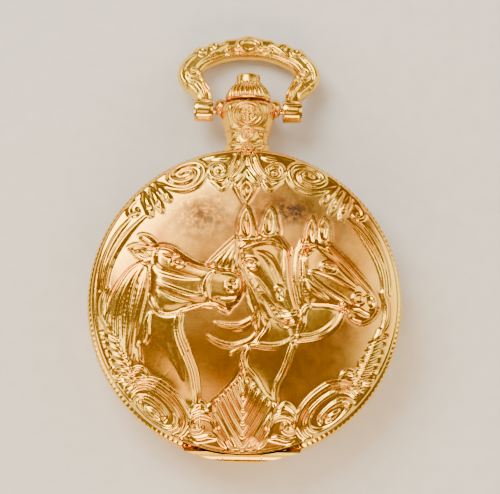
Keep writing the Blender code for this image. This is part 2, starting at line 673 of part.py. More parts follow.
def make_movement(finish):
    brass, steel = finish["wheel_brass"], finish["steel"]
    section = [(10.5, 3.0), (18.2, 3.0), (18.2, 6.5), (10.5, 6.5)]
    holder = turned("movement_holder", section, finish["white_plastic"])
    cut(holder, block("holder_channel", (-1.3, 9, 3.9), (1.3, 20, 7), brass))

    main = rod("main_plate", 10.2, 5.2, 5.9, brass, ROUND)
    pivots = [THIRD_AT, FIFTH_AT, ROTOR_AT, MINUTE_AT, SETTING_AT]
    cut(main, rod("main_center_hole", 0.6, 5, 6, brass, 16))
    for k, at in enumerate(pivots):
        cut(main, rod(f"main_hole_{k}", PIVOT_HOLE, 5, 6, brass, 10, (*at, 0)))
    for k, at in enumerate(SCREWS_AT):
        cut(main, rod(f"main_screw_hole_{k}", 0.33, 5, 6, brass, 12, (*at, 0)))
    cut(main, block("main_channel", (-1.1, 6.0, 5), (1.1, 11, 6.1), brass))

    outline = [
        (-3.7, 2.6), (-3.8, 4.0), (-2.4, 4.5), (2.6, 4.9), (3.6, 3.9), (2.9, 2.6), (1.9, 1.0), (2.0, -1.6),
        (3.9, -5.6), (3.5, -6.6), (2.2, -6.8), (-0.6, -2.4), (-1.4, -0.2),
    ]
    bridge = plate("train_bridge", outline, 3.0, 3.3, brass)
    for k, at in enumerate(SCREWS_AT):
        join(bridge, rod(f"pillar_{k}", 0.7, 3.1, 5.15, brass, 16, (*at, 0)))
    for k, at in enumerate([THIRD_AT, (0, 0), FIFTH_AT, ROTOR_AT]):
        cut(bridge, rod(f"bridge_hole_{k}", PIVOT_HOLE, 2, 4, brass, 10, (*at, 0)))
    for k, at in enumerate(SCREWS_AT):
        cut(bridge, rod(f"pillar_hole_{k}", 0.33, 2, 6, brass, 12, (*at, 0)))

    for k, at in enumerate(SCREWS_AT):
        screw = turned(
            f"bridge_screw_{k + 1}",
            [(0, 2.6), (0.75, 2.6), (0.75, 2.95), (0.27, 2.95), (0.27, 5.7), (0, 5.7)],
            steel, 16, (*at, 0),
        )
        x, y = at
        slot = block(f"screw_slot_{k}", (x - 1, y - 0.1, 2.5), (x + 1, y + 0.1, 2.75), steel)
        cut(screw, slot)


def make_electrics(finish):
    steel, copper = finish["steel"], finish["copper"]
    battery_at = (-4.6, -5.0, 0)
    turned(
        "battery", [(0, 2.5), (3.3, 2.5), (3.4, 2.6), (3.4, 4.4), (3.1, 4.6), (3.1, 5.1), (0, 5.1)],
        steel, 28, battery_at,
    )
    plate("battery_clamp", [(-8.0, -2.6), (-7.0, -1.6), (-1.2, -7.4), (-2.2, -8.4)], 2.2, 2.4, steel)

    coil_at = (-6.3, 3.4, 4.1)
    turned(
        "drive_coil",
        [(0.4, -3.2), (1.0, -3.2), (1.0, -2.9), (0.85, -2.9), (0.85, 2.9), (1.0, 2.9), (1.0, 3.2), (0.4, 3.2)],
        copper, 20, coil_at, ALONG_Y,
    )
    core = block("coil_core", (-6.55, -0.9, 3.9), (-6.05, 7.7, 4.3), steel)
    join(
        core,
        block("core_pad_low", (-7.0, -1.2, 3.92), (-5.6, -0.2, 4.28), steel),
        block("core_pad_high", (-7.0, 7.0, 3.92), (-5.6, 8.0, 4.28), steel),
    )
    stator = plate(
        "stator",
        [
            (-7, 8.1), (-7, 7.0), (-5.4, 7.0), (-4.6, 6.1), (-4.6, 0.7), (-5.4, -0.1), (-7, -0.1), (-7, -1.3),
            (-5.2, -1.3), (-1.4, 1.5), (-1.2, 4.6), (-5.2, 8.1),
        ],
        4.45, 4.6, steel,
    )
    cut(stator, rod("rotor_window", 0.85, 4, 5, steel, 20, (*ROTOR_AT, 0)))
    cut(stator, rod("fifth_window", 0.35, 4, 5, steel, 12, (*FIFTH_AT, 0)))

    plate("circuit_board", sector(4.8, 9.8, -50, 42, 12), 3.45, 3.65, finish["green_board"])
    block("controller_chip", (5.2, -3.3, 3.7), (6.8, -1.7, 4.3), finish["black_plastic"])
    turned(
        "quartz_oscillator", [(0, -2.3), (0.5, -2.3), (0.6, -2.1), (0.6, 2.3), (0, 2.3)], steel, 16,
        (7.7, 0.8, 4.3), ALONG_Y,
    )


# ---------------------------------------------------------------- the watch


def clear_scene():
    for thing in list(bpy.data.objects):
        bpy.data.objects.remove(thing)


def main():
    clear_scene()
    finish = make_materials()
    make_case(finish)
    make_springs(finish)
    make_hinge_and_lid(finish)
    make_pendant(finish)
    make_bow(finish)
    make_crown(finish)
    make_movement(finish)
    make_electrics(finish)
    make_train(finish)
    make_hands(finish)


main()
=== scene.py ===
"""The looks of the fob watch: its embossed lid, cast bow, chased pendant, milled case, dial and movement."""

import json
import math

import bpy
import numpy as np
from mathutils import Matrix, Vector


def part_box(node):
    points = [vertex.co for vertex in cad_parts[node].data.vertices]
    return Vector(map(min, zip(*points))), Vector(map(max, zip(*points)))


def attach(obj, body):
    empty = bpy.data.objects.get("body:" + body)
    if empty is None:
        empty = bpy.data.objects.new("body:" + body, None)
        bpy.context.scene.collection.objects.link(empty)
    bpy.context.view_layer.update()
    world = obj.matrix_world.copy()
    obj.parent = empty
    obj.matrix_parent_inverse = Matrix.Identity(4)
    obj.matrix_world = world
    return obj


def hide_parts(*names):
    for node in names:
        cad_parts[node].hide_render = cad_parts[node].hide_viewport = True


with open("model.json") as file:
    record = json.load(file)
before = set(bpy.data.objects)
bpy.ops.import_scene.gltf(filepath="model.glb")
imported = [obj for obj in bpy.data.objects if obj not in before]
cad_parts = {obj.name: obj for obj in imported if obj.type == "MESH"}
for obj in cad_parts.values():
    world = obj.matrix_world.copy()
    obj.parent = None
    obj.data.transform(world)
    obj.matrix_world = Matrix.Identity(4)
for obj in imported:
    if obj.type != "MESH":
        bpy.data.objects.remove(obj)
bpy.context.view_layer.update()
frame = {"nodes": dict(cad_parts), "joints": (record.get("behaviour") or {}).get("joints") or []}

MM = 0.001
TAU = 2 * math.pi


def top_of(node):
    """The highest corner of a CAD node, in millimetres."""
    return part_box(node)[1] / MM


def bottom_of(node):
    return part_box(node)[0] / MM


# Sizes below are in millimetres, and the main ones come from the frame.
CASE_RADIUS = top_of("case_middle").x
BAND_BOTTOM = bottom_of("case_middle").z
BAND_TOP = top_of("case_middle").z
LID_RADIUS = top_of("lid_cover").x + 0.6  # a little wider than the CAD, as in the photograph
LID_BOTTOM = bottom_of("lid_cover").z
JOINTS = {joint["name"]: joint for joint in frame["joints"]}
BOW_PIVOT = Vector(JOINTS["bow_swing"]["pos_m"]) / MM
AXIS_Z = BOW_PIVOT.z
CROWN_LOW = bottom_of("crown").y
CROWN_TOP = top_of("crown").y
BUTTON_TOP = top_of("push_button").y
COLLAR_Y = (top_of("pusher_collar").y + bottom_of("pusher_collar").y) / 2


# ---------------------------------------------------------------- curves and relief


def smooth_line(points, closed=False, steps=8):
    """A Catmull-Rom curve through the points, as an array."""
    points = np.array(points, float)
    if closed:
        padded = np.vstack([points[-1], points, points[0], points[1]])
    else:
        padded = np.vstack([2 * points[0] - points[1], points, 2 * points[-1] - points[-2]])
    t = np.linspace(0, 1, steps, endpoint=False)[:, None]
    line = []
    for a, b, c, d in zip(padded, padded[1:], padded[2:], padded[3:]):
        line.append(
            0.5 * (2 * b + (c - a) * t + (2 * a - 5 * b + 4 * c - d) * t**2 + (3 * b - a - 3 * c + d) * t**3)
        )
    if not closed:
        line.append(points[-1:])
    return np.vstack(line)


def mirrored(points):
    return [(-x, y) for x, y in points]


def on_side(side, points, middle=0.0):
    """The points as they are for side 1, or mirrored about x = middle for side -1."""
    return [(side * x + middle, y) for x, y in points]


def spiral(centre, size, start, turns, shrink=0.2, squash=1.0, tilt=0.0, steps_per_turn=12):
    """Points of a spiral that winds in from its outside. Angles are in degrees, negative turns clockwise."""
    count = max(3, int(abs(turns) * steps_per_turn))
    lean = math.radians(tilt)
    points = []
    for k in range(count + 1):
        share = k / count
        angle = math.radians(start) + TAU * turns * share
        radius = size * (1 - (1 - shrink) * share)
        along, across = radius * math.cos(angle), radius * math.sin(angle) * squash
        points.append((
            centre[0] + along * math.cos(lean) - across * math.sin(lean),
            centre[1] + along * math.sin(lean) + across * math.cos(lean),
        ))
    return points


def ellipse(centre, wide, high, tilt=0.0, count=14):
    lean = math.radians(tilt)
    return [
        (centre[0] + wide * math.cos(a) * math.cos(lean) - high * math.sin(a) * math.sin(lean),
         centre[1] + wide * math.cos(a) * math.sin(lean) + high * math.sin(a) * math.cos(lean))
        for a in (TAU * k / count for k in range(count))
    ]


OUTLINE = 0.4  # how far the groove round a covering mound reaches


class Relief:
    """A height over points of a plane, built from mounds, ridges and grooves."""

    def __init__(self, x, y, finest):
        self.x, self.y = np.asarray(x, float), np.asarray(y, float)
        self.finest = finest
        self.ground = np.zeros_like(self.x)
        self.lines = np.zeros_like(self.x)
        self.cuts = np.zeros_like(self.x)
        self.body = np.zeros_like(self.x)

    def near(self, line, reach):
        low, high = line.min(0) - reach, line.max(0) + reach
        inside = (self.x > low[0]) & (self.x < high[0]) & (self.y > low[1]) & (self.y < high[1])
        return np.nonzero(inside)[0]

    def distance(self, line, picked):
        """Distance from the picked points to a line, and how far along the line each nearest place is."""
        px, py = self.x[picked], self.y[picked]
        best = np.full(len(picked), 1e9)
        along = np.zeros(len(picked))
        count = len(line) - 1
        for k, (a, b) in enumerate(zip(line, line[1:])):
            d = b - a
            length = max(float(d @ d), 1e-12)
            t = np.clip(((px - a[0]) * d[0] + (py - a[1]) * d[1]) / length, 0, 1)
            gap = np.hypot(px - a[0] - t * d[0], py - a[1] - t * d[1])
            closer = gap < best
            best[closer] = gap[closer]
            along[closer] = ((k + t) / count)[closer]
        return best, along

    def profile(self, points, width, closed, taper):
        line = smooth_line(points, closed)
        if closed:
            line = np.vstack([line, line[:1]])
        picked = self.near(line, width)
        gap, along = self.distance(line, picked)
        reach = np.full(len(picked), float(width))
        if taper:
            first, last = taper
            reach = reach * (first + (1 - first) * np.clip(along * 3, 0, 1))
            reach = reach * (last + (1 - last) * np.clip((1 - along) * 3, 0, 1))
        return picked, np.clip(1 - (gap / reach) ** 2, 0, 1), reach / width

    def ridge(self, points, width=0.3, height=0.2, closed=False, taper=(0.4, 0.4)):
        """A rounded ridge along a curve. Width is its half width."""
        width = max(1.12 * width, self.finest)
        picked, rise, size = self.profile(points, width, closed, None if closed else taper)
        self.lines[picked] = np.maximum(self.lines[picked], 1.1 * height * rise**0.8 * np.sqrt(size))
        self.body[picked] = np.maximum(self.body[picked], np.clip(3 * rise, 0, 1))

    def pair(self, points, width, height, middle=0.0, **options):
        """A ridge and its mirror image about x = middle."""
        for side in (1, -1):
            self.ridge(on_side(side, points, middle), width, height, **options)

    def groove(self, points, width=0.2, depth=0.12, closed=False, taper=(0.4, 0.4)):
        width = max(width, self.finest)
        picked, rise, size = self.profile(points, width, closed, None if closed else taper)
        self.cuts[picked] = np.maximum(self.cuts[picked], depth * rise * size)

    def mound(self, points, height=0.4, edge=1.5, round_off=0.5, base=0.0, covers=False):
        """A raised area with a rounded edge. One that covers hides what is below, inside a groove."""
        line = smooth_line(points, closed=True)
        line = np.vstack([line, line[:1]])
        picked = self.near(line, OUTLINE)
        px, py = self.x[picked], self.y[picked]
        inside = np.zeros(len(picked), bool)
        for a, b in zip(line, line[1:]):
            crosses = (a[1] > py) != (b[1] > py)
            step = b[1] - a[1]
            if abs(step) > 1e-12:
                inside ^= crosses & (px < a[0] + (py - a[1]) * (b[0] - a[0]) / step)
        gap, _ = self.distance(line, picked)
        if covers:
            out, out_gap = picked[~inside], gap[~inside]
            self.cuts[out] = np.maximum(self.cuts[out], 0.22 * np.clip(1 - out_gap / OUTLINE, 0, 1))
            over = np.clip(gap[inside] / 0.25, 0, 1)
            for layer in (self.ground, self.lines, self.cuts):
                layer[picked[inside]] *= 1 - over
        picked, gap = picked[inside], gap[inside]
        share = np.clip(gap / edge, 0, 1)
        rise = (1 - (1 - share) ** 2) ** round_off
        self.ground[picked] += base * np.clip(gap / 0.2, 0, 1) + height * rise
        self.body[picked] = 1

    def bump(self, centre, radius, height):
        near = (self.x - centre[0]) ** 2 + (self.y - centre[1]) ** 2
        rise = np.sqrt(np.clip(1 - near / radius**2, 0, 1))
        self.lines = np.maximum(self.lines, height * rise)
        self.body = np.maximum(self.body, np.clip(2 * rise, 0, 1))

    def pit(self, centre, wide, high, tilt, depth):
        lean = math.radians(tilt)
        dx, dy = self.x - centre[0], self.y - centre[1]
        along = dx * math.cos(lean) + dy * math.sin(lean)
        across = -dx * math.sin(lean) + dy * math.cos(lean)
        rise = np.clip(1 - (along / wide) ** 2 - (across / high) ** 2, 0, 1)
        self.cuts = np.maximum(self.cuts, depth * np.sqrt(rise))

    def height(self):
        return self.ground + self.lines - self.cuts


def between(first, last, count):
    """Curves that pass from one guide curve to another that has the same number of points."""
    first, last = np.array(first, float), np.array(last, float)
    return [list(map(tuple, first + (last - first) * (k + 0.5) / count)) for k in range(count)]


# ---------------------------------------------------------------- the horses on the lid


def pricked_ear(relief, outline, hollow, width, depth):
    relief.mound(outline, 0.42, 0.45, covers=True)
    relief.groove(hollow, width, depth, taper=(0.4, 0.7))


def left_horse(relief):
    neck = [
        (-13.6, 5.0), (-15.6, 5.2), (-17.6, 3.2), (-19.2, 0.6), (-19.6, -2.4), (-19.2, -5.4), (-18.0, -8.6),
        (-16.2, -10.8), (-14.6, -10.2), (-11, -12.2), (-9.6, -14.6), (-6.6, -15.2), (-6.6, -12.4),
        (-7.1, -10.2), (-8.2, -7.4), (-9.2, -4.6), (-9.0, -2.4), (-10.6, 2.0),
    ]
    relief.mound(neck, 0.24, 3.4)
    mane_outer = [(-14.7, 5.2), (-17.0, 4.0), (-18.8, 1.4), (-19.8, -1.4), (-19.9, -4.4), (-19.0, -7.6)]
    mane_inner = [(-13.9, 4.4), (-13.9, 2.6), (-14.2, 0.2), (-14.6, -2.6), (-15.0, -5.2), (-15.6, -8.6)]
    for k, strand in enumerate(between(mane_outer, mane_inner, 8)):
        strand = [
            (x + 0.2 * math.sin(1.1 * n + k), y - 0.5 * (k % 3) * n / 5) for n, (x, y) in enumerate(strand)
        ]
        relief.ridge(strand, 0.36, 0.4 - 0.1 * (k % 2), taper=(0.5, 0.15))
    head = [
        (-13.2, 7.2), (-12.2, 7.5), (-11.2, 7.4), (-10.2, 7.0), (-9.2, 6.2), (-8.2, 5.5), (-7.2, 4.9),
        (-6.0, 4.6), (-4.6, 4.4), (-3.2, 4.0), (-1.8, 3.9), (-0.8, 3.4), (-0.3, 2.3), (-0.3, 1.1),
        (-0.8, 0.0), (-1.4, -0.8), (-1.9, -1.2), (-2.5, -2.0), (-3.2, -1.7), (-4.4, -1.2), (-6.0, -1.1),
        (-7.6, -1.5), (-9.2, -2.2), (-10.8, -2.6), (-12.2, -2.3), (-13.2, -1.2), (-13.7, 0.4), (-13.6, 2.6),
        (-13.8, 4.6), (-13.9, 6.0),
    ]
    relief.mound(head, 0.62, 1.9, 0.55, 0.12, covers=True)
    upper_ear = [(-12.6, 7.0), (-13.2, 8.2), (-14.3, 9.0), (-15.3, 9.1), (-15.2, 8.4), (-14.4, 7.8),
                 (-13.6, 7.0)]
    relief.mound(upper_ear, 0.4, 0.5, covers=True)
    lower_ear = [(-12.9, 7.0), (-14.6, 7.5), (-16.2, 7.6), (-16.9, 7.1), (-16.1, 6.1), (-15.0, 5.2),
                 (-13.4, 4.6)]
    relief.mound(lower_ear, 0.4, 0.7, covers=True)
    relief.groove([(-16.0, 6.7), (-15.1, 6.2), (-13.9, 5.6)], 0.45, 0.34)
    relief.ridge([(-16.8, 7.1), (-15.4, 7.4), (-14.0, 7.2), (-12.8, 7.1)], 0.32, 0.42)
    relief.ridge(
        [(-12.6, 7.1), (-11.3, 7.0), (-10.2, 6.5), (-9.0, 5.7), (-7.8, 5.0), (-6.6, 4.5), (-5.2, 4.2),
         (-3.6, 3.8), (-2.0, 3.6), (-1.0, 3.1), (-0.7, 2.0), (-0.75, 0.9), (-1.2, 0.0)],
        0.42, 0.26, taper=(0.6, 0.5),
    )
    relief.groove([(-11.9, 6.1), (-10.8, 5.8), (-9.4, 5.8), (-8.2, 5.0)], 0.34, 0.2)
    relief.ridge(ellipse((-9.6, 4.9), 0.85, 0.5, -12), 0.26, 0.28, closed=True)
    relief.bump((-9.6, 4.92), 0.3, 0.2)
    relief.groove([(-13.0, 5.6), (-12.9, 4.6), (-12.2, 3.8), (-10.6, 3.3), (-8.6, 2.8), (-6.6, 2.6)],
                  0.5, 0.2)
    relief.ridge([(-12.6, 2.1), (-11.2, 1.4), (-9.6, 0.8), (-7.8, 0.3), (-6.0, 0.2)], 0.28, 0.22)
    relief.groove([(-12.3, 1.0), (-10.8, 0.2), (-9.0, -0.4), (-7.0, -0.6)], 0.45, 0.14)
    relief.ridge([(-4.1, 4.1), (-5.1, 2.9), (-5.5, 1.5), (-5.3, 0.2), (-4.8, -1.0)], 0.3, 0.32)
    relief.groove([(-4.5, 4.0), (-5.7, 2.7), (-6.15, 1.3), (-5.9, 0.0)], 0.28, 0.16)
    relief.ridge([(-2.7, 2.2), (-2.5, 1.3), (-1.8, 0.9), (-1.2, 1.4), (-1.1, 2.2)], 0.26, 0.24)
    relief.pit((-1.9, 1.8), 0.5, 0.6, 20, 0.3)
    relief.groove([(-0.9, -0.1), (-1.9, -0.3), (-3.0, -0.4), (-4.0, -0.2)], 0.28, 0.28)
    relief.ridge([(-13.7, 0.2), (-13.4, -0.7), (-12.8, -1.5), (-12.0, -2.2)], 0.3, 0.3)
    relief.ridge([(-3.2, -1.7), (-4.6, -1.35), (-6.2, -1.2), (-7.8, -1.6), (-9.2, -2.5)], 0.3, 0.3)
    chest = [(-9.2, -2.6), (-9.4, -4.2), (-9.1, -5.8), (-8.4, -7.5), (-7.7, -9.2), (-7.1, -10.8),
             (-6.8, -12.4), (-6.6, -14), (-6.6, -15.3)]
    relief.ridge(chest, 0.48, 0.5, taper=(0.8, 0.8))
    relief.groove([(-10.4, -4.2), (-10.3, -6.4), (-9.4, -8.8), (-8.6, -11.6)], 0.9, 0.12)
    relief.ridge([(-13.4, -2.4), (-13.8, -3.8), (-13.8, -5.4), (-14.1, -6.6)], 0.28, 0.34)
    relief.ridge([(-15.0, -6.5), (-15.15, -7.9), (-14.7, -9.4)], 0.26, 0.3)


def middle_horse(relief):
    neck = [
        (-0.9, 9.3), (-2.0, 8.2), (-3.6, 6.5), (-5.2, 5.0), (-3.6, 4.2), (-0.6, 3.6), (0.0, 1.2),
        (0.8, -2.6), (1.6, -5.4), (0.7, -7.6), (0.1, -9.8), (1.6, -11.8), (3.2, -14), (4.5, -14.8),
        (4.8, -12.6), (6.0, -9.8), (7.0, -6.6), (6.4, -3.8), (4.6, -2.4), (2.8, 0.4), (0.6, 4.0),
        (-0.6, 7.0),
    ]
    relief.mound(neck, 0.22, 2.2)
    outer_mane = [(-1.2, 8.9), (-2.5, 7.4), (-3.9, 5.9), (-5.0, 4.8)]
    inner_mane = [(-0.8, 7.8), (-1.0, 6.6), (-1.1, 5.3), (-1.0, 4.1)]
    for guide in between(outer_mane, inner_mane, 4):
        relief.ridge(guide, 0.32, 0.28, taper=(0.5, 0.6))
    relief.ridge([(-0.9, 9.4), (-1.6, 8.5), (-2.8, 7.3), (-4.2, 5.9), (-5.5, 4.8)], 0.3, 0.36)
    outer_mane = [(-0.6, 4.6), (-0.2, 2.8), (0.3, 0.8), (0.9, -1.4), (1.3, -3.4)]
    inner_mane = [(0.4, 3.6), (1.6, 1.7), (2.6, 0.1), (3.4, -1.2), (4.0, -2.6)]
    for guide in between(outer_mane, inner_mane, 3):
        relief.ridge(guide, 0.42, 0.16, taper=(0.5, 0.3))
    head = [
        (-0.9, 8.4), (0.4, 8.8), (1.9, 9.3), (3.4, 9.6), (4.6, 9.3), (5.5, 8.2), (6.3, 6.9), (6.5, 5.0),
        (6.6, 3.0), (6.9, 1.2), (7.3, -0.4), (7.8, -1.8), (7.9, -2.8), (7.2, -3.5), (6.0, -3.5),
        (5.0, -3.0), (4.2, -2.0), (3.2, -0.6), (2.0, 0.8), (0.9, 2.4), (0.1, 3.8), (-0.5, 5.4), (-0.9, 6.8),
    ]
    relief.mound(head, 0.66, 2.8, 0.55, 0.14, covers=True)
    left_ear = [(-1.0, 8.6), (-1.1, 10.2), (-0.85, 11.9), (-0.1, 13.5), (0.6, 13.0), (1.1, 11.4),
                (1.5, 9.9), (1.5, 8.9)]
    right_ear = [(2.1, 9.4), (2.3, 10.9), (2.8, 12.5), (3.4, 13.5), (4.2, 12.9), (4.6, 11.2), (4.7, 9.4)]
    pricked_ear(relief, left_ear, [(-0.1, 12.3), (-0.1, 10.8), (0.2, 9.3)], 0.6, 0.55)
    pricked_ear(relief, right_ear, [(3.4, 12.4), (3.2, 11.2), (3.3, 9.9)], 0.6, 0.55)
    relief.groove([(-0.7, 7.6), (0.7, 8.1), (2.2, 8.7), (3.6, 8.9), (4.8, 8.3)], 0.26, 0.26)
    relief.ridge([(-0.6, 7.0), (0.6, 7.5), (2.0, 8.0), (3.4, 8.2), (4.6, 7.9), (5.7, 7.0)], 0.34, 0.26)
    relief.groove([(1.6, 6.6), (3.0, 6.0), (4.0, 4.8), (4.6, 3.2), (4.9, 1.8)], 0.7, 0.16)
    relief.ridge([(5.8, 7.0), (5.9, 5.2), (6.0, 3.4), (6.25, 1.6), (6.6, 0.0), (7.1, -1.6)],
                 0.5, 0.3, taper=(0.6, 0.6))
    relief.ridge(ellipse((0.75, 4.95), 0.9, 0.58, -12), 0.26, 0.28, closed=True)
    relief.bump((0.8, 5.0), 0.32, 0.2)
    relief.ridge([(0.5, 3.5), (1.5, 2.6), (2.5, 1.4), (3.4, 0.2), (4.2, -0.9)], 0.34, 0.2)
    relief.pit((5.0, 0.4), 0.4, 0.75, 12, 0.3)
    relief.ridge([(4.3, 1.2), (4.9, 1.6), (5.5, 1.0), (5.5, 0.1)], 0.27, 0.2)
    relief.groove([(4.7, -1.5), (5.6, -2.1), (6.8, -2.0)], 0.3, 0.24)
    relief.ridge([(5.0, -2.7), (6.0, -2.9), (6.9, -2.6), (7.5, -2.2)], 0.3, 0.2)
    relief.ridge([(4.9, -3.4), (5.8, -3.9), (6.8, -3.8), (7.8, -3.2)], 0.28, 0.26)
    chest = [
        [(0.6, -7.3), (0.15, -8.4), (0.0, -9.6), (0.6, -10.6), (1.4, -11.5), (2.0, -12.4), (3.0, -13.9),
         (4.4, -15.0)],
        [(7.0, -6.6), (6.6, -7.9), (6.2, -9.3), (5.6, -10.8), (4.9, -12.2), (4.6, -13.6), (4.7, -15.0)],
    ]
    for line in chest:
        relief.ridge(line, 0.4, 0.44, taper=(0.8, 0.8))


def right_horse(relief):
    neck = [
        (8.4, 9.0), (7.4, 7.4), (7.0, 4.0), (7.2, 1.0), (7.8, -1.6), (8.2, -4.4), (7.6, -6.0), (10.6, -5.6),
        (13.0, -3.8), (13.4, -1.2), (11.4, 1.0), (9.6, 4.0),
    ]
    relief.mound(neck, 0.2, 1.6)
    for x in (6.8, 7.5):
        relief.ridge([(x, 7.2), (x - 0.15, 4.6), (x - 0.05, 2.0), (x + 0.35, -0.4)], 0.4, 0.17)
    head = [
        (10.2, 8.6), (12.2, 8.1), (13.7, 6.7), (15.2, 5.1), (16.6, 3.5), (17.8, 2.2), (18.7, 1.2),
        (19.3, 0.1), (19.3, -1.0), (18.7, -2.1), (17.8, -2.9), (16.6, -3.3), (15.3, -2.8), (14.6, -1.7),
        (13.2, -1.2), (11.6, -0.9), (9.6, -0.8), (8.9, 0.4), (8.3, 2.4), (8.0, 4.6), (8.1, 6.4), (9.0, 7.6),
    ]
    relief.mound(head, 0.55, 1.8, 0.55, 0.12, covers=True)
    left_ear = [(8.4, 7.8), (8.5, 9.6), (8.9, 11.1), (9.6, 12.2), (10.1, 11.3), (10.3, 9.6), (10.2, 8.0)]
    right_ear = [(10.5, 8.4), (10.5, 10.0), (10.7, 11.4), (11.4, 12.2), (12.1, 11.0), (12.2, 9.6),
                 (12.1, 8.2)]
    pricked_ear(relief, left_ear, [(9.5, 11.1), (9.3, 9.8), (9.4, 8.5)], 0.5, 0.5)
    pricked_ear(relief, right_ear, [(11.3, 11.1), (11.2, 10.1), (11.2, 9.1)], 0.5, 0.5)
    relief.ridge([(8.9, 8.6), (8.3, 7.8), (8.2, 7.0), (8.7, 6.5), (9.3, 6.9)], 0.3, 0.32)
    relief.ridge(
        [(12.0, 7.6), (13.3, 6.4), (14.8, 4.9), (16.2, 3.4), (17.3, 2.3), (18.3, 1.2), (18.8, 0.1),
         (18.7, -1.0)],
        0.5, 0.28, taper=(0.6, 0.4),
    )
    relief.groove([(10.4, 7.6), (11.8, 6.4), (13.4, 5.0), (15.0, 3.4), (16.2, 2.2)], 0.34, 0.24)
    relief.ridge(ellipse((11.95, 4.6), 0.92, 0.6, -12), 0.26, 0.3, closed=True)
    relief.bump((11.95, 4.62), 0.32, 0.2)
    relief.ridge([(9.3, 3.9), (10.6, 3.9), (12.6, 3.2), (14.4, 2.2), (15.8, 1.5)], 0.27, 0.26)
    relief.ridge([(9.3, 3.6), (10.0, 2.7), (11.4, 1.6), (13.0, 0.6), (14.4, -0.2), (15.2, -0.7)], 0.27, 0.26)
    relief.ridge([(8.7, 2.7), (9.4, 1.7), (10.6, 0.8), (11.9, -0.1)], 0.27, 0.24)
    relief.ridge([(8.0, 6.0), (8.1, 4.4), (8.2, 2.8), (8.4, 1.4), (8.8, 0.2), (9.3, -0.8)], 0.28, 0.3)
    relief.ridge(spiral((16.4, 0.2), 0.75, 60, 0.9, 1.0), 0.27, 0.26)
    relief.pit((18.1, -0.2), 0.55, 0.65, 0, 0.32)
    relief.ridge([(17.5, 0.5), (18.2, 0.8), (18.9, 0.2), (18.8, -0.8), (18.1, -1.2)], 0.27, 0.24)
    relief.groove([(15.0, -1.4), (16.3, -1.5), (17.3, -2.0), (18.4, -2.4)], 0.28, 0.3)
    relief.bump((14.1, -0.9), 0.45, 0.3)
    relief.ridge([(9.3, -0.9), (8.7, -1.5), (8.3, -2.4), (8.3, -3.4), (8.0, -4.6), (7.6, -5.9)], 0.36, 0.38)


def reins(relief):
    lines = [
        ([(-4.2, -3.6), (-3.0, -3.95), (-1.8, -4.05), (-0.6, -3.9), (0.4, -3.4), (1.2, -2.8), (1.6, -1.6)],
         0.17, 0.22),
        ([(-1.7, -4.7), (-0.4, -4.5), (0.7, -3.9), (1.5, -3.2)], 0.15, 0.14),
        ([(-5.3, -5.6), (-4.2, -6.3), (-3.0, -6.8), (-1.6, -6.95), (-0.3, -6.6), (0.9, -6.0), (1.9, -4.8)],
         0.19, 0.24),
        ([(-1.9, -8.1), (-1.0, -7.5), (0.3, -7.0), (1.6, -6.8), (3.4, -7.0), (5.0, -6.85), (6.2, -6.3),
          (7.2, -5.3)],
         0.22, 0.26),
        ([(7.2, -6.2), (8.8, -5.9), (10.4, -5.5), (12.0, -4.8), (13.1, -3.8), (13.7, -2.8), (14.2, -1.8),
          (15.0, -1.4)],
         0.3, 0.3),
        ([(7.9, -5.3), (9.2, -5.3), (10.6, -4.9), (12.0, -4.0), (12.9, -3.0), (13.3, -2.0)], 0.14, 0.16),
        ([(2.6, -2.3), (2.8, -3.1), (3.3, -3.9), (3.1, -4.8), (2.4, -5.7), (1.9, -6.7)], 0.3, 0.28),
        ([(1.7, -1.3), (2.0, -2.6), (1.8, -3.9), (2.2, -4.8)], 0.2, 0.16),
    ]
    for points, width, height in lines:
        relief.ridge(points, width, height)


# ---------------------------------------------------------------- the scrolls round the lid's edge


PALMETTE_X = -0.1


def crown_palmette(relief):
    """The fan at 12 o'clock, with a scroll on each side."""
    relief.mound([(-0.1, 14.0), (-1.0, 15.3), (-1.7, 16.5), (-2.4, 17.8), (-1.4, 19.4), (-1.0, 21.4),
                  (0.8, 21.4), (1.2, 19.4), (2.2, 17.8), (1.5, 16.5), (0.8, 15.3)], 0.14, 0.8, covers=True)
    scroll = [(1.2, 21.4), (1.6, 20.0), (2.3, 18.7), (3.2, 17.9), (4.2, 17.6), (5.1, 18.0), (5.4, 18.9),
              (5.0, 19.7), (4.1, 19.9), (3.3, 19.3), (3.4, 18.7), (4.0, 18.6)]
    strokes = [
        ([(0.0, 14.0), (0.65, 15.2), (0.8, 16.1), (0.4, 16.9), (0.0, 17.4)], 0.3, 0.38, (0.4, 0.4)),
        ([(0.3, 21.6), (0.5, 20.2), (1.0, 19.0), (1.8, 18.0), (2.8, 17.3)], 0.42, 0.42, (0.8, 0.5)),
        ([(0.0, 19.4), (0.6, 18.3), (1.3, 17.4), (2.0, 16.6)], 0.36, 0.36, (0.4, 0.4)),
        (scroll, 0.4, 0.42, (0.8, 0.5)),
        ([(2.2, 17.4), (2.8, 16.8), (3.5, 16.1), (4.3, 16.7), (5.4, 17.4)], 0.34, 0.28, (0.4, 0.4)),
        ([(2.3, 21.2), (3.4, 20.9), (4.8, 20.8)], 0.34, 0.26, (0.4, 0.4)),
    ]
    for points, width, height, taper in strokes:
        relief.pair(points, width, height, PALMETTE_X, taper=taper)
    for side in (1, -1):
        relief.bump((side * 4.1 + PALMETTE_X, 18.75), 0.5, 0.4)
    relief.pit((PALMETTE_X, 15.9), 0.42, 0.85, 0, 0.36)


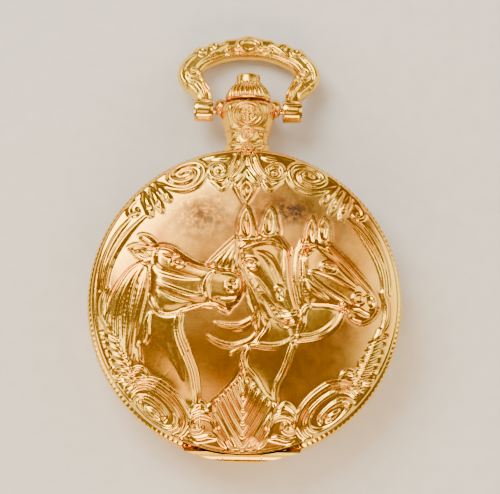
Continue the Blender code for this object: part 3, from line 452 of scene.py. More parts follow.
def upper_scrolls(relief):
    """A broad spiral and a leaf cluster on each side of the fan."""
    outer = [(13.4, 17.0), (12.2, 16.5), (10.6, 16.0), (8.9, 15.9), (7.4, 16.5), (6.5, 17.6), (6.2, 18.9),
             (6.9, 19.9), (8.3, 20.1), (9.9, 19.6), (11.0, 18.7), (11.3, 17.9), (10.6, 17.3), (9.4, 17.1),
             (8.2, 17.6), (7.8, 18.4), (8.3, 18.9), (9.2, 18.8), (9.7, 18.4)]
    relief.pair(outer, 0.47, 0.46, taper=(0.4, 0.5))
    lobes = [
        [(13.2, 16.7), (12.6, 15.9), (11.7, 14.9), (11.1, 14.4)],
        [(14.0, 16.1), (13.4, 15.0), (12.8, 13.8), (12.2, 12.8)],
        [(15.0, 15.3), (14.6, 14.3), (14.1, 13.1), (13.9, 12.0)],
    ]
    for lobe in lobes:
        relief.pair(lobe, 0.6, 0.46, taper=(0.5, 0.6))
        for side in (1, -1):
            relief.pit((side * lobe[2][0], lobe[2][1]), 0.24, 0.45, side * -25, 0.3)
    relief.pair([(16.0, 14.4), (16.9, 13.4), (17.0, 12.5), (16.3, 12.1), (15.7, 12.6), (15.9, 13.2)],
                0.34, 0.34)


def side_leaves(relief):
    """The long leaves and the rope of leaves that follow the rim on both sides."""
    inner = [(14.6, 12.0), (16.0, 10.6), (17.2, 9.2), (18.3, 7.6), (19.2, 5.9), (19.8, 4.2), (20.1, 2.4),
             (20.1, 0.8)]
    relief.pair(inner, 0.4, 0.38, taper=(0.3, 0.6))
    relief.pair([(16.8, 11.6), (18.2, 9.9), (19.4, 7.9), (20.3, 5.6), (20.8, 3.2), (20.9, 1.0)], 0.34, 0.3)
    relief.pair([(19.8, 1.4), (20.4, 0.2), (20.6, -1.4), (20.3, -3.2), (19.6, -4.6)], 0.42, 0.36)
    rope_radius = 20.1
    rope = [(rope_radius * math.cos(math.radians(a)), rope_radius * math.sin(math.radians(a)))
            for a in range(-12, -37, -4)]
    relief.pair(rope, 0.85, 0.42, taper=(0.5, 0.5))
    leaves, first_leaf, leaf_step, slant = 7, -13.5, -3.7, 0.09
    for k in range(leaves):
        angle = math.radians(first_leaf + leaf_step * k)
        start = (21.0 * math.cos(angle), 21.0 * math.sin(angle))
        end = (19.2 * math.cos(angle - slant), 19.2 * math.sin(angle - slant))
        for side in (1, -1):
            relief.groove(on_side(side, [start, end]), 0.28, 0.3, taper=(0.9, 0.9))
    relief.pair(spiral((18.1, -11.0), 1.1, 100, -1.1, 0.4), 0.34, 0.36)
    relief.pair([(16.8, -8.7), (17.4, -9.6), (17.3, -10.7), (16.7, -11.7)], 0.4, 0.38)
    relief.pair([(13.9, -11.5), (14.2, -10.7), (14.9, -10.3), (15.8, -10.6), (16.2, -11.4)], 0.34, 0.34)


def lower_ovals(relief):
    """The big oval spiral on each side of the lower palmette."""
    outer = [(16.6, -13.2), (15.4, -12.3), (14.0, -11.9), (12.5, -12.2), (11.0, -13.1), (9.6, -14.3),
             (8.5, -15.7), (7.9, -17), (7.9, -18.2), (8.6, -19.4), (9.8, -20)]
    relief.pair(outer, 0.45, 0.5, taper=(0.5, 0.4))
    inner = [(16.1, -13.7), (14.9, -12.9), (13.3, -13.1), (11.5, -14.2), (9.9, -15.8), (9.2, -17.4),
             (9.6, -18.6), (10.9, -18.9), (12.4, -18.3), (13.9, -17.2), (15.0, -15.9), (15.4, -14.9),
             (14.7, -14.4), (13.3, -14.8), (12.0, -15.8), (11.1, -16.9), (11.2, -17.4)]
    relief.pair(inner, 0.44, 0.5, taper=(0.5, 0.6))
    relief.pair([(13.8, -15.9), (12.8, -16.6), (12.0, -17.2)], 0.45, 0.46)


def lower_palmette(relief):
    """Nested chevrons that rise from 6 o'clock, with a volute on each side."""
    outline = [(0, -9.9), (0.9, -11.5), (2.0, -12.9), (3.2, -14.2), (4.2, -15.2), (3.9, -17.4),
               (2.7, -19.6), (1.6, -21.3)]
    relief.mound(outline + mirrored(outline[:0:-1]), 0.2, 0.7, covers=True)
    chevrons = 5
    for k in range(chevrons):
        top = (0.7 + 0.78 * k, -11.9 - 0.8 * k)
        foot = (0.08, -14.2 - 1.8 * k)
        middle = (0.5 * top[0], 0.42 * top[1] + 0.58 * foot[1])
        relief.pair([top, middle, foot], 0.33, 0.42, taper=(0.8, 0.7))
    relief.ridge([(0, -10.1), (0.05, -11.3), (0.0, -12.8)], 0.34, 0.36)
    relief.pair([(4.0, -16.6), (3.0, -18.4), (2.0, -20.2), (1.2, -21.4)], 0.33, 0.4)
    relief.pair([(3.9, -19.0), (3.0, -20.2), (2.2, -21.3)], 0.33, 0.36)
    relief.pair([(4.6, -15.3), (5.2, -15.9), (6.0, -15.2), (7.0, -15.8), (7.8, -16.7)], 0.34, 0.36)
    volute = [(3.7, -18.6), (4.3, -17.4), (5.4, -16.8), (6.6, -16.9), (7.4, -17.6), (7.4, -18.5),
              (6.6, -18.9), (5.9, -18.5), (6.1, -17.9)]
    relief.pair(volute, 0.42, 0.48, taper=(0.5, 0.7))
    relief.pair([(3.9, -20.0), (5.0, -19.9), (6.3, -20.2), (7.6, -19.8)], 0.4, 0.34)


def rim_bead(relief):
    half, height = 0.35, 0.14
    radius = np.hypot(relief.x, relief.y)
    rise = np.clip(1 - ((radius - LID_RADIUS + half) / half) ** 2, 0, 1)
    relief.lines = np.maximum(relief.lines, height * rise)
    relief.body = np.maximum(relief.body, rise)


# ---------------------------------------------------------------- materials


def new_material(name):
    material = bpy.data.materials.new(name)
    material.use_nodes = True
    nodes = material.node_tree.nodes
    return material, nodes, material.node_tree.links, nodes["Principled BSDF"]


def noise(nodes, links, coords, scale, detail=4.0, rough=0.55, kind="ShaderNodeTexNoise"):
    node = nodes.new(kind)
    node.inputs["Scale"].default_value = scale
    if kind == "ShaderNodeTexNoise":
        node.inputs["Detail"].default_value = detail
        node.inputs["Roughness"].default_value = rough
    links.new(coords.outputs["Object"], node.inputs["Vector"])
    return node


def ramp(nodes, links, source, stops):
    """A colour ramp. Stops are (place, colour) or (place, grey)."""
    node = nodes.new("ShaderNodeValToRGB")
    elements = node.color_ramp.elements
    while len(elements) < len(stops):
        elements.new(0.5)
    for element, (place, colour) in zip(elements, stops):
        element.position = place
        element.color = (*colour, 1) if isinstance(colour, tuple) else (colour, colour, colour, 1)
    links.new(source, node.inputs["Fac"])
    return node.outputs["Color"]


def mix(nodes, links, kind, factor, first, second):
    node = nodes.new("ShaderNodeMix")
    node.data_type = "RGBA"
    node.blend_type = kind
    factor_input, first_input, second_input = node.inputs["Factor"], node.inputs[6], node.inputs[7]
    for value, socket in ((factor, factor_input), (first, first_input), (second, second_input)):
        if isinstance(value, bpy.types.NodeSocket):
            links.new(value, socket)
        elif isinstance(value, tuple):
            socket.default_value = (*value, 1)
        else:
            socket.default_value = value
    return node.outputs[2]


def bump(nodes, links, shader, height, strength, distance):
    node = nodes.new("ShaderNodeBump")
    node.inputs["Strength"].default_value = strength
    node.inputs["Distance"].default_value = distance
    links.new(height, node.inputs["Height"])
    links.new(node.outputs["Normal"], shader.inputs["Normal"])


SCRATCHED = 0.1  # how much rougher the scratches leave the gold


def gold_material(name, light=(1.0, 0.67, 0.08), deep=(0.94, 0.49, 0.03), rough=0.13, relief=False):
    """Gold in two tones, dulled by fine scratches. The lid's also has a brown ground and dark tarnish."""
    material, nodes, links, shader = new_material(name)
    coords = nodes.new("ShaderNodeTexCoord")
    broad = noise(nodes, links, coords, 90, 3)
    tone = ramp(nodes, links, broad.outputs["Fac"], [(0.35, deep), (0.62, light)])
    fine = noise(nodes, links, coords, 1800, 5, 0.65)
    dull = ramp(nodes, links, fine.outputs["Fac"], [(0.3, rough), (0.75, rough + SCRATCHED)])
    height = noise(nodes, links, coords, 650, 3)
    if relief:
        field = nodes.new("ShaderNodeAttribute")
        field.attribute_name = "field"
        patina = nodes.new("ShaderNodeAttribute")
        patina.attribute_name = "patina"
        blotch = noise(nodes, links, coords, 230, 6, 0.62)
        brown = ramp(
            nodes, links, blotch.outputs["Fac"],
            [(0.3, (0.25, 0.09, 0.01)), (0.5, (0.52, 0.225, 0.025)), (0.7, (0.76, 0.38, 0.05))],
        )
        tone = mix(nodes, links, "MIX", field.outputs["Fac"], tone, brown)
        speck = noise(nodes, links, coords, 1100, 8, 0.8)
        pits = ramp(nodes, links, speck.outputs["Fac"], [(0.46, 1.0), (0.6, 0.0)])
        grey = ramp(
            nodes, links, blotch.outputs["Fac"],
            [(0.35, (0.035, 0.02, 0.012)), (0.55, (0.11, 0.07, 0.045)), (0.75, (0.3, 0.2, 0.12))],
        )
        spots = mix(nodes, links, "MULTIPLY", 1.0, pits, patina.outputs["Color"])
        tone = mix(nodes, links, "MIX", spots, tone, grey)
        dull = mix(nodes, links, "MIX", field.outputs["Fac"], dull, (0.27, 0.27, 0.27))
        dull = mix(nodes, links, "MIX", spots, dull, (0.62, 0.62, 0.62))
    links.new(tone, shader.inputs["Base Color"])
    links.new(dull, shader.inputs["Roughness"])
    shader.inputs["Metallic"].default_value = 1
    bump(nodes, links, shader, height.outputs["Fac"], 0.12, 0.00004)
    return material


def grained_material(name, colour, dark, rough, scale, detail, bump_strength, metallic):
    """A surface whose colour and roughness both follow one fine grain."""
    material, nodes, links, shader = new_material(name)
    grain = noise(nodes, links, nodes.new("ShaderNodeTexCoord"), scale, detail).outputs["Fac"]
    low, high = (0.3, 0.7) if metallic else (0.35, 0.65)
    rougher = rough + (0.12 if metallic else 0.15)
    links.new(ramp(nodes, links, grain, [(low, dark), (high, colour)]), shader.inputs["Base Color"])
    links.new(ramp(nodes, links, grain, [(0.3, rough), (0.7, rougher)]), shader.inputs["Roughness"])
    shader.inputs["Metallic"].default_value = metallic
    bump(nodes, links, shader, grain, bump_strength, 0.00002)
    return material


def metal_material(name, colour, rough, brushed=False):
    dark = tuple(0.82 * c for c in colour)
    return grained_material(name, colour, dark, rough, 2500 if brushed else 900, 3, 0.1, 1)


def plain_material(name, colour, rough, scale=700, spread=0.12):
    dark = tuple(c * (1 - spread) for c in colour)
    return grained_material(name, colour, dark, rough, scale, 5, 0.15, 0)


def glass_material():
    material, nodes, links, shader = new_material("watch_glass")
    shader.inputs["Base Color"].default_value = (1, 1, 1, 1)
    shader.inputs["Transmission Weight"].default_value = 1
    shader.inputs["IOR"].default_value = 1.45
    coords = nodes.new("ShaderNodeTexCoord")
    smear = noise(nodes, links, coords, 300, 4)
    rough = ramp(nodes, links, smear.outputs["Fac"], [(0.4, 0.0), (0.8, 0.02)])
    links.new(rough, shader.inputs["Roughness"])
    return material


MATERIALS = {
    "gold": gold_material("gold_polished"),
    "gold_cast": gold_material("gold_cast", (1.0, 0.68, 0.075), (0.94, 0.5, 0.03), 0.2),
    "gold_relief": gold_material("gold_relief", (1.0, 0.64, 0.075), (0.95, 0.42, 0.025), 0.12, relief=True),
    "steel": metal_material("bright_steel", (0.66, 0.66, 0.68), 0.22),
    "brass": metal_material("movement_brass", (0.82, 0.64, 0.32), 0.28, brushed=True),
    "copper": metal_material("coil_winding", (0.75, 0.36, 0.18), 0.3),
    "nickel": metal_material("battery_nickel", (0.72, 0.71, 0.69), 0.2, brushed=True),
    "white": plain_material("holder_plastic", (0.86, 0.86, 0.83), 0.45),
    "green": plain_material("printed_board", (0.04, 0.26, 0.1), 0.4),
    "chip": plain_material("chip_resin", (0.03, 0.03, 0.035), 0.35),
    "rubber": plain_material("gasket_rubber", (0.035, 0.035, 0.035), 0.7),
    "dial": plain_material("dial_lacquer", (0.93, 0.9, 0.83), 0.4, 500, 0.05),
    "ink": plain_material("black_lacquer", (0.015, 0.015, 0.02), 0.25),
    "glass": glass_material(),
}


# ---------------------------------------------------------------- mesh makers


def make_object(name, verts, faces, finish, body, sharp=32):
    """A mesh in millimetres, as an object that rides on a body."""
    mesh = bpy.data.meshes.new(name)
    mesh.from_pydata([tuple(v) for v in np.asarray(verts, float) * MM], [], faces)
    mesh.validate()
    mesh.shade_smooth()
    mesh.set_sharp_from_angle(angle=math.radians(sharp))
    mesh.materials.append(MATERIALS[finish])
    made = bpy.data.objects.new(name, mesh)
    bpy.context.scene.collection.objects.link(made)
    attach(made, body)
    return made


def revolve(profile, sides, shape=None, closed=True):
    """Vertices and quads of a turned surface about Z. Shape moves the array of points."""
    profile = np.array(profile, float)
    angles = np.linspace(0, TAU, sides, endpoint=False)
    verts = np.stack([
        np.outer(profile[:, 0], np.cos(angles)), np.outer(profile[:, 0], np.sin(angles)),
        np.repeat(profile[:, 1][:, None], sides, 1),
    ], axis=-1).reshape(-1, 3)
    if shape is not None:
        verts = shape(verts)
    rows = len(profile)
    faces = []
    for i in range(rows if closed else rows - 1):
        a, b = i * sides, ((i + 1) % rows) * sides
        for j in range(sides):
            k = (j + 1) % sides
            faces.append((a + j, a + k, b + k, b + j))
    return verts, faces


def turned_over(faces):
    return [tuple(reversed(face)) for face in faces]


def cap(faces, first, sides, flip=False):
    ring = list(range(first, first + sides))
    faces.append(tuple(reversed(ring)) if flip else tuple(ring))


def disc_grid(n):
    """A square grid laid over the unit disc, so that its edge is the circle."""
    side = np.linspace(-1, 1, n + 1)
    a, b = np.meshgrid(side, side, indexing="ij")
    a, b = a.ravel(), b.ravel()
    wide = np.abs(a) > np.abs(b)
    with np.errstate(divide="ignore", invalid="ignore"):
        angle = np.where(wide, math.pi / 4 * b / a, math.pi / 2 - math.pi / 4 * a / b)
    angle = np.where((a == 0) & (b == 0), 0, angle)
    radius = np.where(wide, a, b)
    return radius * np.cos(angle), radius * np.sin(angle)


def softened(values, n, times):
    """Values on a disc_grid, with each blended into its neighbours."""
    grid = values.reshape(n + 1, n + 1)
    for _ in range(times):
        padded = np.pad(grid, 1, mode="edge")
        around = padded[:-2, 1:-1] + padded[2:, 1:-1] + padded[1:-1, :-2] + padded[1:-1, 2:]
        grid = 0.5 * grid + 0.125 * around
    return grid.ravel()


def grid_edge(n):
    """Indices round the edge of a disc_grid, anticlockwise."""
    step = n + 1
    low = [i * step for i in range(n)]
    right = [n * step + j for j in range(n)]
    high = [i * step + n for i in range(n, 0, -1)]
    left = list(range(n, 0, -1))
    return low + right + high + left


# ---------------------------------------------------------------- lid


LID_GRID = 288
DOME_FOOT, DOME_RISE = 9.0, 3.1
NOTCH_HALF = 8.6
NOTCH_TOP, NOTCH_FLOOR = 9.36, 6.58
LID_FINEST = 0.26  # narrower lines would be thinner than the grid can show
LID_WALL = 0.45
# Dark spots in the lid's finish: how strong, where, how wide and high, and how sharply each one ends.
TARNISH = [
    (0.8, (7.0, 13.4), (6.0, 2.8), 1.2),
    (0.75, (-6.0, 11.6), (4.6, 3.4), 1),
    (1.2, (6.0, 12.4), (1.3, 1.1), 1),
    (0.5, (14.0, 11.0), (2.0, 2.4), 1),
]


def dome(radius):
    return DOME_FOOT + DOME_RISE * np.clip(1 - (radius / (LID_RADIUS + 0.1)) ** 2.6, 0, 1) ** 0.75


def lifted(verts):
    """Raises the lid's edge over the hinge's knuckles."""
    near = (np.abs(verts[:, 0]) < NOTCH_HALF) & (verts[:, 1] < -20.4)
    verts[near, 2] = np.maximum(verts[near, 2], NOTCH_TOP)
    return verts


def make_lid():
    """One closed mesh: a round grid bent to the dome with its relief, then rings down its wall."""
    x, y = disc_grid(LID_GRID)
    edge_radius = LID_RADIUS - 0.02
    x, y = x * edge_radius, y * edge_radius
    radius = np.hypot(x, y)
    relief = Relief(x, y, LID_FINEST)
    right_horse(relief)
    middle_horse(relief)
    left_horse(relief)
    reins(relief)
    crown_palmette(relief)
    upper_scrolls(relief)
    side_leaves(relief)
    lower_ovals(relief)
    lower_palmette(relief)
    rim_bead(relief)
    height = softened(relief.height(), LID_GRID, 3)
    fade = np.clip((edge_radius - radius) / 0.35, 0, 1)
    top = np.stack([x, y, dome(radius) + height * fade], axis=-1)

    n = LID_GRID
    step = n + 1
    faces = [
        (i * step + j, (i + 1) * step + j, (i + 1) * step + j + 1, i * step + j + 1)
        for i in range(n) for j in range(n)
    ]
    edge = grid_edge(n)
    circle = np.stack([x[edge], y[edge]], axis=-1) / edge_radius
    rings = [(LID_RADIUS, 8.85), (LID_RADIUS, 8.4), (LID_RADIUS - 0.12, LID_BOTTOM), (21.42, LID_BOTTOM),
             (21.36, 8.8)]
    rings += [(r, float(dome(np.array(r))) - LID_WALL) for r in (20.6, 19, 16, 11, 6)]
    verts = [top]
    previous = edge
    total = len(top)
    count = len(edge)
    for ring_radius, ring_z in rings:
        verts.append(np.column_stack([circle * ring_radius, np.full(count, ring_z)]))
        current = list(range(total, total + count))
        for k in range(count):
            m = (k + 1) % count
            faces.append((previous[k], current[k], current[m], previous[m]))
        previous = current
        total += count
    verts.append(np.array([[0, 0, float(dome(np.array(0.0))) - LID_WALL]]))
    for k in range(count):
        faces.append((previous[k], total, previous[(k + 1) % count]))
    shaped = lifted(np.vstack(verts))
    lid = make_object("lid_embossed", shaped, faces, "gold_relief", "lid", 78)

    body = np.clip(relief.body, 0, 1)
    field = np.ones(total + 1) * 0.1
    field[: len(x)] = np.where(body > 0, 0.0, 1.0) * np.clip(1 - np.clip(height, 0, 1) / 0.06, 0, 1)
    chest = np.exp(-(((x + 4) / 9) ** 2 + ((y + 10) / 6) ** 2))
    # Painted reflection: towards the rim, and more on the left where the light falls, the brown ground gives
    # way to bright polished gold.
    painted_rim_sheen = np.clip((radius - 15.5) / 4, 0, 1) * np.where(x < 0, 0.9, 0.5)
    field[: len(x)] *= (1 - 0.7 * chest) * (1 - painted_rim_sheen)
    patina = np.zeros(total + 1)
    spot = np.zeros(len(x))
    for strength, (at_x, at_y), (wide, high), fall in TARNISH:
        spot += strength * np.exp(-((((x - at_x) / wide) ** 2 + ((y - at_y) / high) ** 2) ** fall))
    patina[: len(x)] = np.clip(spot, 0, 1)
    for name, values in (("field", field), ("patina", patina)):
        attribute = lid.data.attributes.new(name, "FLOAT", "POINT")
        attribute.data.foreach_set("value", values.astype(np.float32))
    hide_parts("lid_cover")


# ---------------------------------------------------------------- case


def milled(verts, count, depth, low, high, slant=0.0):
    """Presses slanting flutes into the outer side of a band between two heights."""
    radius = np.hypot(verts[:, 0], verts[:, 1])
    angle = np.arctan2(verts[:, 1], verts[:, 0])
    z = verts[:, 2]
    share = np.clip((z - low) / (high - low), 0, 1)
    window = np.clip(np.sin(math.pi * share), 0, 1) ** 0.5
    wave = 0.5 - 0.5 * np.cos(count * angle + slant * share * TAU)
    outer = np.clip((radius - 21.6) / 0.4, 0, 1)
    scale = 1 - depth * window * wave**2 * outer / np.maximum(radius, 1e-6)
    verts[:, 0] *= scale
    verts[:, 1] *= scale
    return verts


def arc_points(centre, radius, first, last, count):
    return [
        (centre[0] + radius * math.cos(math.radians(first + (last - first) * k / count)),
         centre[1] + radius * math.sin(math.radians(first + (last - first) * k / count)))
        for k in range(count + 1)
    ]


def bored(made, radius, first, last):
    """Cuts a round hole along the axis of the stem."""
    sides = 32
    turns = [TAU * k / sides for k in range(sides)]
    around = [(radius * math.cos(turn), radius * math.sin(turn) + AXIS_Z) for turn in turns]
    verts = [(x * MM, y * MM, z * MM) for y in (first, last) for x, z in around]
    faces = [tuple(range(sides)), tuple(range(2 * sides - 1, sides - 1, -1))]
    faces += [(k + sides, (k + 1) % sides + sides, (k + 1) % sides, k) for k in range(sides)]
    mesh = bpy.data.meshes.new("bore")
    mesh.from_pydata(verts, [], faces)
    mesh.materials.append(made.data.materials[0])
    tool = bpy.data.objects.new("bore", mesh)
    bpy.context.scene.collection.objects.link(tool)
    cut = made.modifiers.new("bore", "BOOLEAN")
    cut.operation = "DIFFERENCE"
    cut.solver = "EXACT"
    cut.object = tool
    bpy.context.view_layer.update()
    shaped = bpy.data.meshes.new_from_object(made.evaluated_get(bpy.context.evaluated_depsgraph_get()))
    made.modifiers.clear()
    made.data = shaped
    bpy.data.objects.remove(tool)


STEM_HOLE = 1.3  # its radius


def make_case():
    """The case middle with its rope edge, and the snap-on back."""
    rope_z, rope_radius, strands = 6.55, 0.72, 180
    rope = arc_points((CASE_RADIUS - rope_radius, rope_z), rope_radius, -70, 70, 12)
    lower = arc_points((CASE_RADIUS - 0.62, 4.0), 0.6, -75, 60, 8)
    profile = [(19.3, BAND_BOTTOM), (21.9, BAND_BOTTOM), (22.15, 2.85), *lower, (22.62, 4.8), (22.7, 5.3),
               (22.62, 5.75), *rope, (22.1, 7.45), (22.0, BAND_TOP), (21.4, BAND_TOP), (19.85, BAND_TOP),
               (19.85, 7.05), (19.3, 7.05)]

    def shape(verts):
        verts = milled(verts, strands, 0.15, rope_z - rope_radius, rope_z + rope_radius, slant=1.0)
        # A notch in the edge makes room for the hinge's knuckles.
        notch = (np.abs(verts[:, 0]) < NOTCH_HALF) & (verts[:, 1] < -20.7)
        verts[notch, 2] = np.minimum(verts[notch, 2], NOTCH_FLOOR)
        return verts

    verts, faces = revolve(profile, 1200, shape)
    case = make_object("case_band", verts, faces, "gold", "case", 40)
    bored(case, STEM_HOLE, 18, 25)
    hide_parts("case_middle")

    back = [(0.01, 0.0), (12.6, 0.0), (13.0, 0.03), (13.3, 0.14), (13.6, 0.06), (16, 0.2), (19, 0.8),
            (19.6, 0.98), (19.8, 1.2), (20.1, 1.14), (21, 1.65), (21.6, 2.1), (21.8, 2.4), (21.8, 2.58),
            (21.7, 2.6), (19.2, 2.6), (19.2, 3.3), (18.4, 3.3), (18.1, 2.0), (16, 1.2), (13, 0.9),
            (0.01, 0.9)]
    verts, faces = revolve(back, 256)
    cover = make_object("back_cover_turned", verts, faces, "gold", "case", 30)
    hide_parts("back_cover")


# ---------------------------------------------------------------- pendant


FOOT_RADIUS = 22.75
FRONT_TO_BACK = 0.85  # how deep the pendant is for its width


def make_pendant():
    """The turned pendant, flattened front to back, and the round ear on each side of it."""
    profile = [
        (3.42, 22.2), (3.4, 23.2), (3.5, 23.5), (3.25, 23.9), (3.2, 24.6), (3.25, 25.2), (3.5, 25.5),
        (3.4, 25.8), (3.55, 26.4), (3.8, 27.0), (4.05, 27.8), (4.25, 28.6), (4.25, 29.2), (4.1, 29.7),
        (3.75, 30.02), (3.45, 29.95), (3.3, 29.7), (1.4, 29.45),
    ]
    line = smooth_line(profile[:15], steps=11)
    profile = [tuple(p) for p in line] + profile[15:] + [(1.4, 22.2)]
    sides = 300

    def shape(verts):
        # The axis is Y: the turned height becomes y, and the section is flattened front to back.
        across, deep, along = verts[:, 0], verts[:, 1], verts[:, 2]
        outer = np.hypot(across, deep) > 2.5
        placed = np.stack([across, along, deep * FRONT_TO_BACK], axis=-1)
        relief = pendant_relief(across, along)
        lift = relief * np.clip(np.abs(deep) / np.maximum(np.hypot(across, deep), 1e-6), 0, 1) * outer
        placed[:, 2] += np.sign(deep) * lift
        placed[:, 2] += AXIS_Z
        # The foot follows the round case.
        foot = placed[:, 1] < 22.6
        placed[foot, 1] = np.sqrt(np.maximum(FOOT_RADIUS**2 - placed[foot, 0] ** 2, 1))
        return placed

    verts, faces = revolve(profile, sides, shape)
    faces = turned_over(faces)
    pendant = make_object("pendant_chased", verts, faces, "gold_cast", "case", 50)
    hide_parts("pendant")
    for side in (1, -1):
        ear = [(0.01, 0), (0.5, 0.0), (0.95, 0.25), (1.2, 0.7), (1.28, 1.2), (1.15, 1.65), (0.8, 1.95),
               (0.5, 2.05), (0.01, 2.05)]
        verts, faces = revolve(ear, 48)
        verts = np.stack([side * (2.85 + verts[:, 2]), BOW_PIVOT.y + verts[:, 0] * 1.08 + 0.35,
                          AXIS_Z + verts[:, 1]], axis=-1)
        if side < 0:
            faces = turned_over(faces)
        name = "pendant_ear_right" if side > 0 else "pendant_ear_left"
        made = make_object(name, verts, faces, "gold_cast", "case", 60)
        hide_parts("pendant")


def pendant_relief(x, y):
    """The medallion, the bud and the rosette, from the top down, with leaves on both sides."""
    relief = Relief(x, y, 0.17)
    centre = (0, 27.95)
    relief.ridge(ellipse(centre, 2.15, 1.78, count=24), 0.26, 0.2, closed=True)
    relief.ridge(ellipse(centre, 1.4, 1.26, count=24), 0.18, 0.17, closed=True)
    for k in range(8):
        angle = TAU * k / 8
        relief.bump((centre[0] + 0.76 * math.cos(angle), centre[1] + 0.7 * math.sin(angle)), 0.24, 0.17)
    relief.bump(centre, 0.26, 0.16)
    bud = [(0, 24.3), (-0.55, 24.6), (-0.75, 25.3), (-0.55, 25.9), (0.55, 25.9), (0.75, 25.3), (0.55, 24.6)]
    relief.ridge(bud, 0.24, 0.26, closed=True)
    relief.bump((0, 25.0), 0.3, 0.3)
    for k in range(5):
        angle = TAU * (k + 0.25) / 5
        relief.bump((0.6 * math.cos(angle), 23.1 + 0.52 * math.sin(angle)), 0.36, 0.3)
    relief.bump((0, 23.1), 0.28, 0.36)
    leaves = [
        ([(0.9, 23.5), (1.6, 24.1), (2.4, 24.2), (3.2, 23.9)], 0.34, 0.2),
        ([(0.9, 22.9), (1.8, 22.9), (2.6, 23.2), (3.3, 23.1)], 0.3, 0.18),
        ([(1.0, 25.6), (1.8, 25.1), (2.6, 25.0), (3.2, 25.2)], 0.34, 0.2),
        ([(2.3, 26.4), (2.8, 27.2), (3.0, 28.2), (2.8, 29.2)], 0.34, 0.16),
    ]
    for points, width, height in leaves:
        relief.pair(points, width, height)
    return relief.height()


# ---------------------------------------------------------------- bow


BOW_DROOP = math.radians(19.0)
BOW_THICK = 1.22
BOW_SCALE = (1.015, 1.035)
BOW_PATH = [
    (6.55, 0.9, 1.15, 1.15), (6.55, 1.7, 1.2, 1.2), (6.8, 2.7, 1.3, 1.35), (7.4, 3.7, 1.5, 1.6),
    (8.2, 4.7, 1.75, 1.8), (8.7, 5.9, 1.85, 1.95), (8.4, 7.1, 1.75, 1.85), (7.4, 8.3, 1.6, 1.75),
    (5.9, 9.2, 1.5, 1.75), (4.0, 10.0, 1.45, 1.6), (2.0, 10.5, 1.5, 1.75), (0, 10.65, 1.55, 1.85),
]


def bow_relief(x, along, inner_line):
    """The scrolls on the bow's front and back, and the line cut along its inner edge."""
    relief = Relief(np.abs(x), along, 0.26)
    relief.groove(inner_line, 0.4, 0.35, taper=(1, 1))
    relief.ridge([(0.0, 12.0), (1.0, 11.9), (1.6, 11.3), (1.4, 10.7), (0.8, 10.4), (0.0, 10.3)], 0.42, 0.36)
    relief.ridge([(1.5, 10.2), (2.2, 10.7), (3.0, 10.5), (3.1, 9.9), (2.5, 9.7)], 0.36, 0.32)
    relief.ridge([(3.2, 11.2), (4.2, 10.7), (5.0, 10.0), (5.8, 9.2)], 0.42, 0.3)
    relief.bump((5.1, 10.9), 0.75, 0.42)
    relief.pit((5.1, 10.9), 0.26, 0.26, 0, 0.25)
    relief.bump((7.1, 9.9), 0.85, 0.42)
    relief.pit((7.1, 9.9), 0.28, 0.28, 0, 0.25)
    relief.ridge([(8.0, 9.1), (9.2, 8.0), (10.0, 6.6), (10.1, 5.2), (9.4, 4.2)], 0.45, 0.34)
    relief.ridge(spiral((8.2, 6.0), 0.9, 120, -1.0, 0.9), 0.38, 0.34)
    relief.pit((8.2, 6.0), 0.42, 0.42, 0, 0.3)
    relief.ridge([(9.2, 4.0), (8.5, 3.3), (7.9, 2.5), (7.7, 1.8)], 0.4, 0.32)
    relief.ridge([(8.0, 4.5), (7.2, 3.8), (6.7, 2.9), (6.6, 2.0)], 0.4, 0.34)
    relief.ridge([(6.8, 4.6), (6.1, 3.8), (5.7, 2.8)], 0.34, 0.28)
    return relief.height()


def stepped(points):
    """Cuts the step across the front of a lug."""
    x, y, z = points.T
    points[(y > 0.15) & (y < 0.95) & (x > 5.6) & (x < 7.6) & (z > 0.9), 2] -= 0.25
    return points


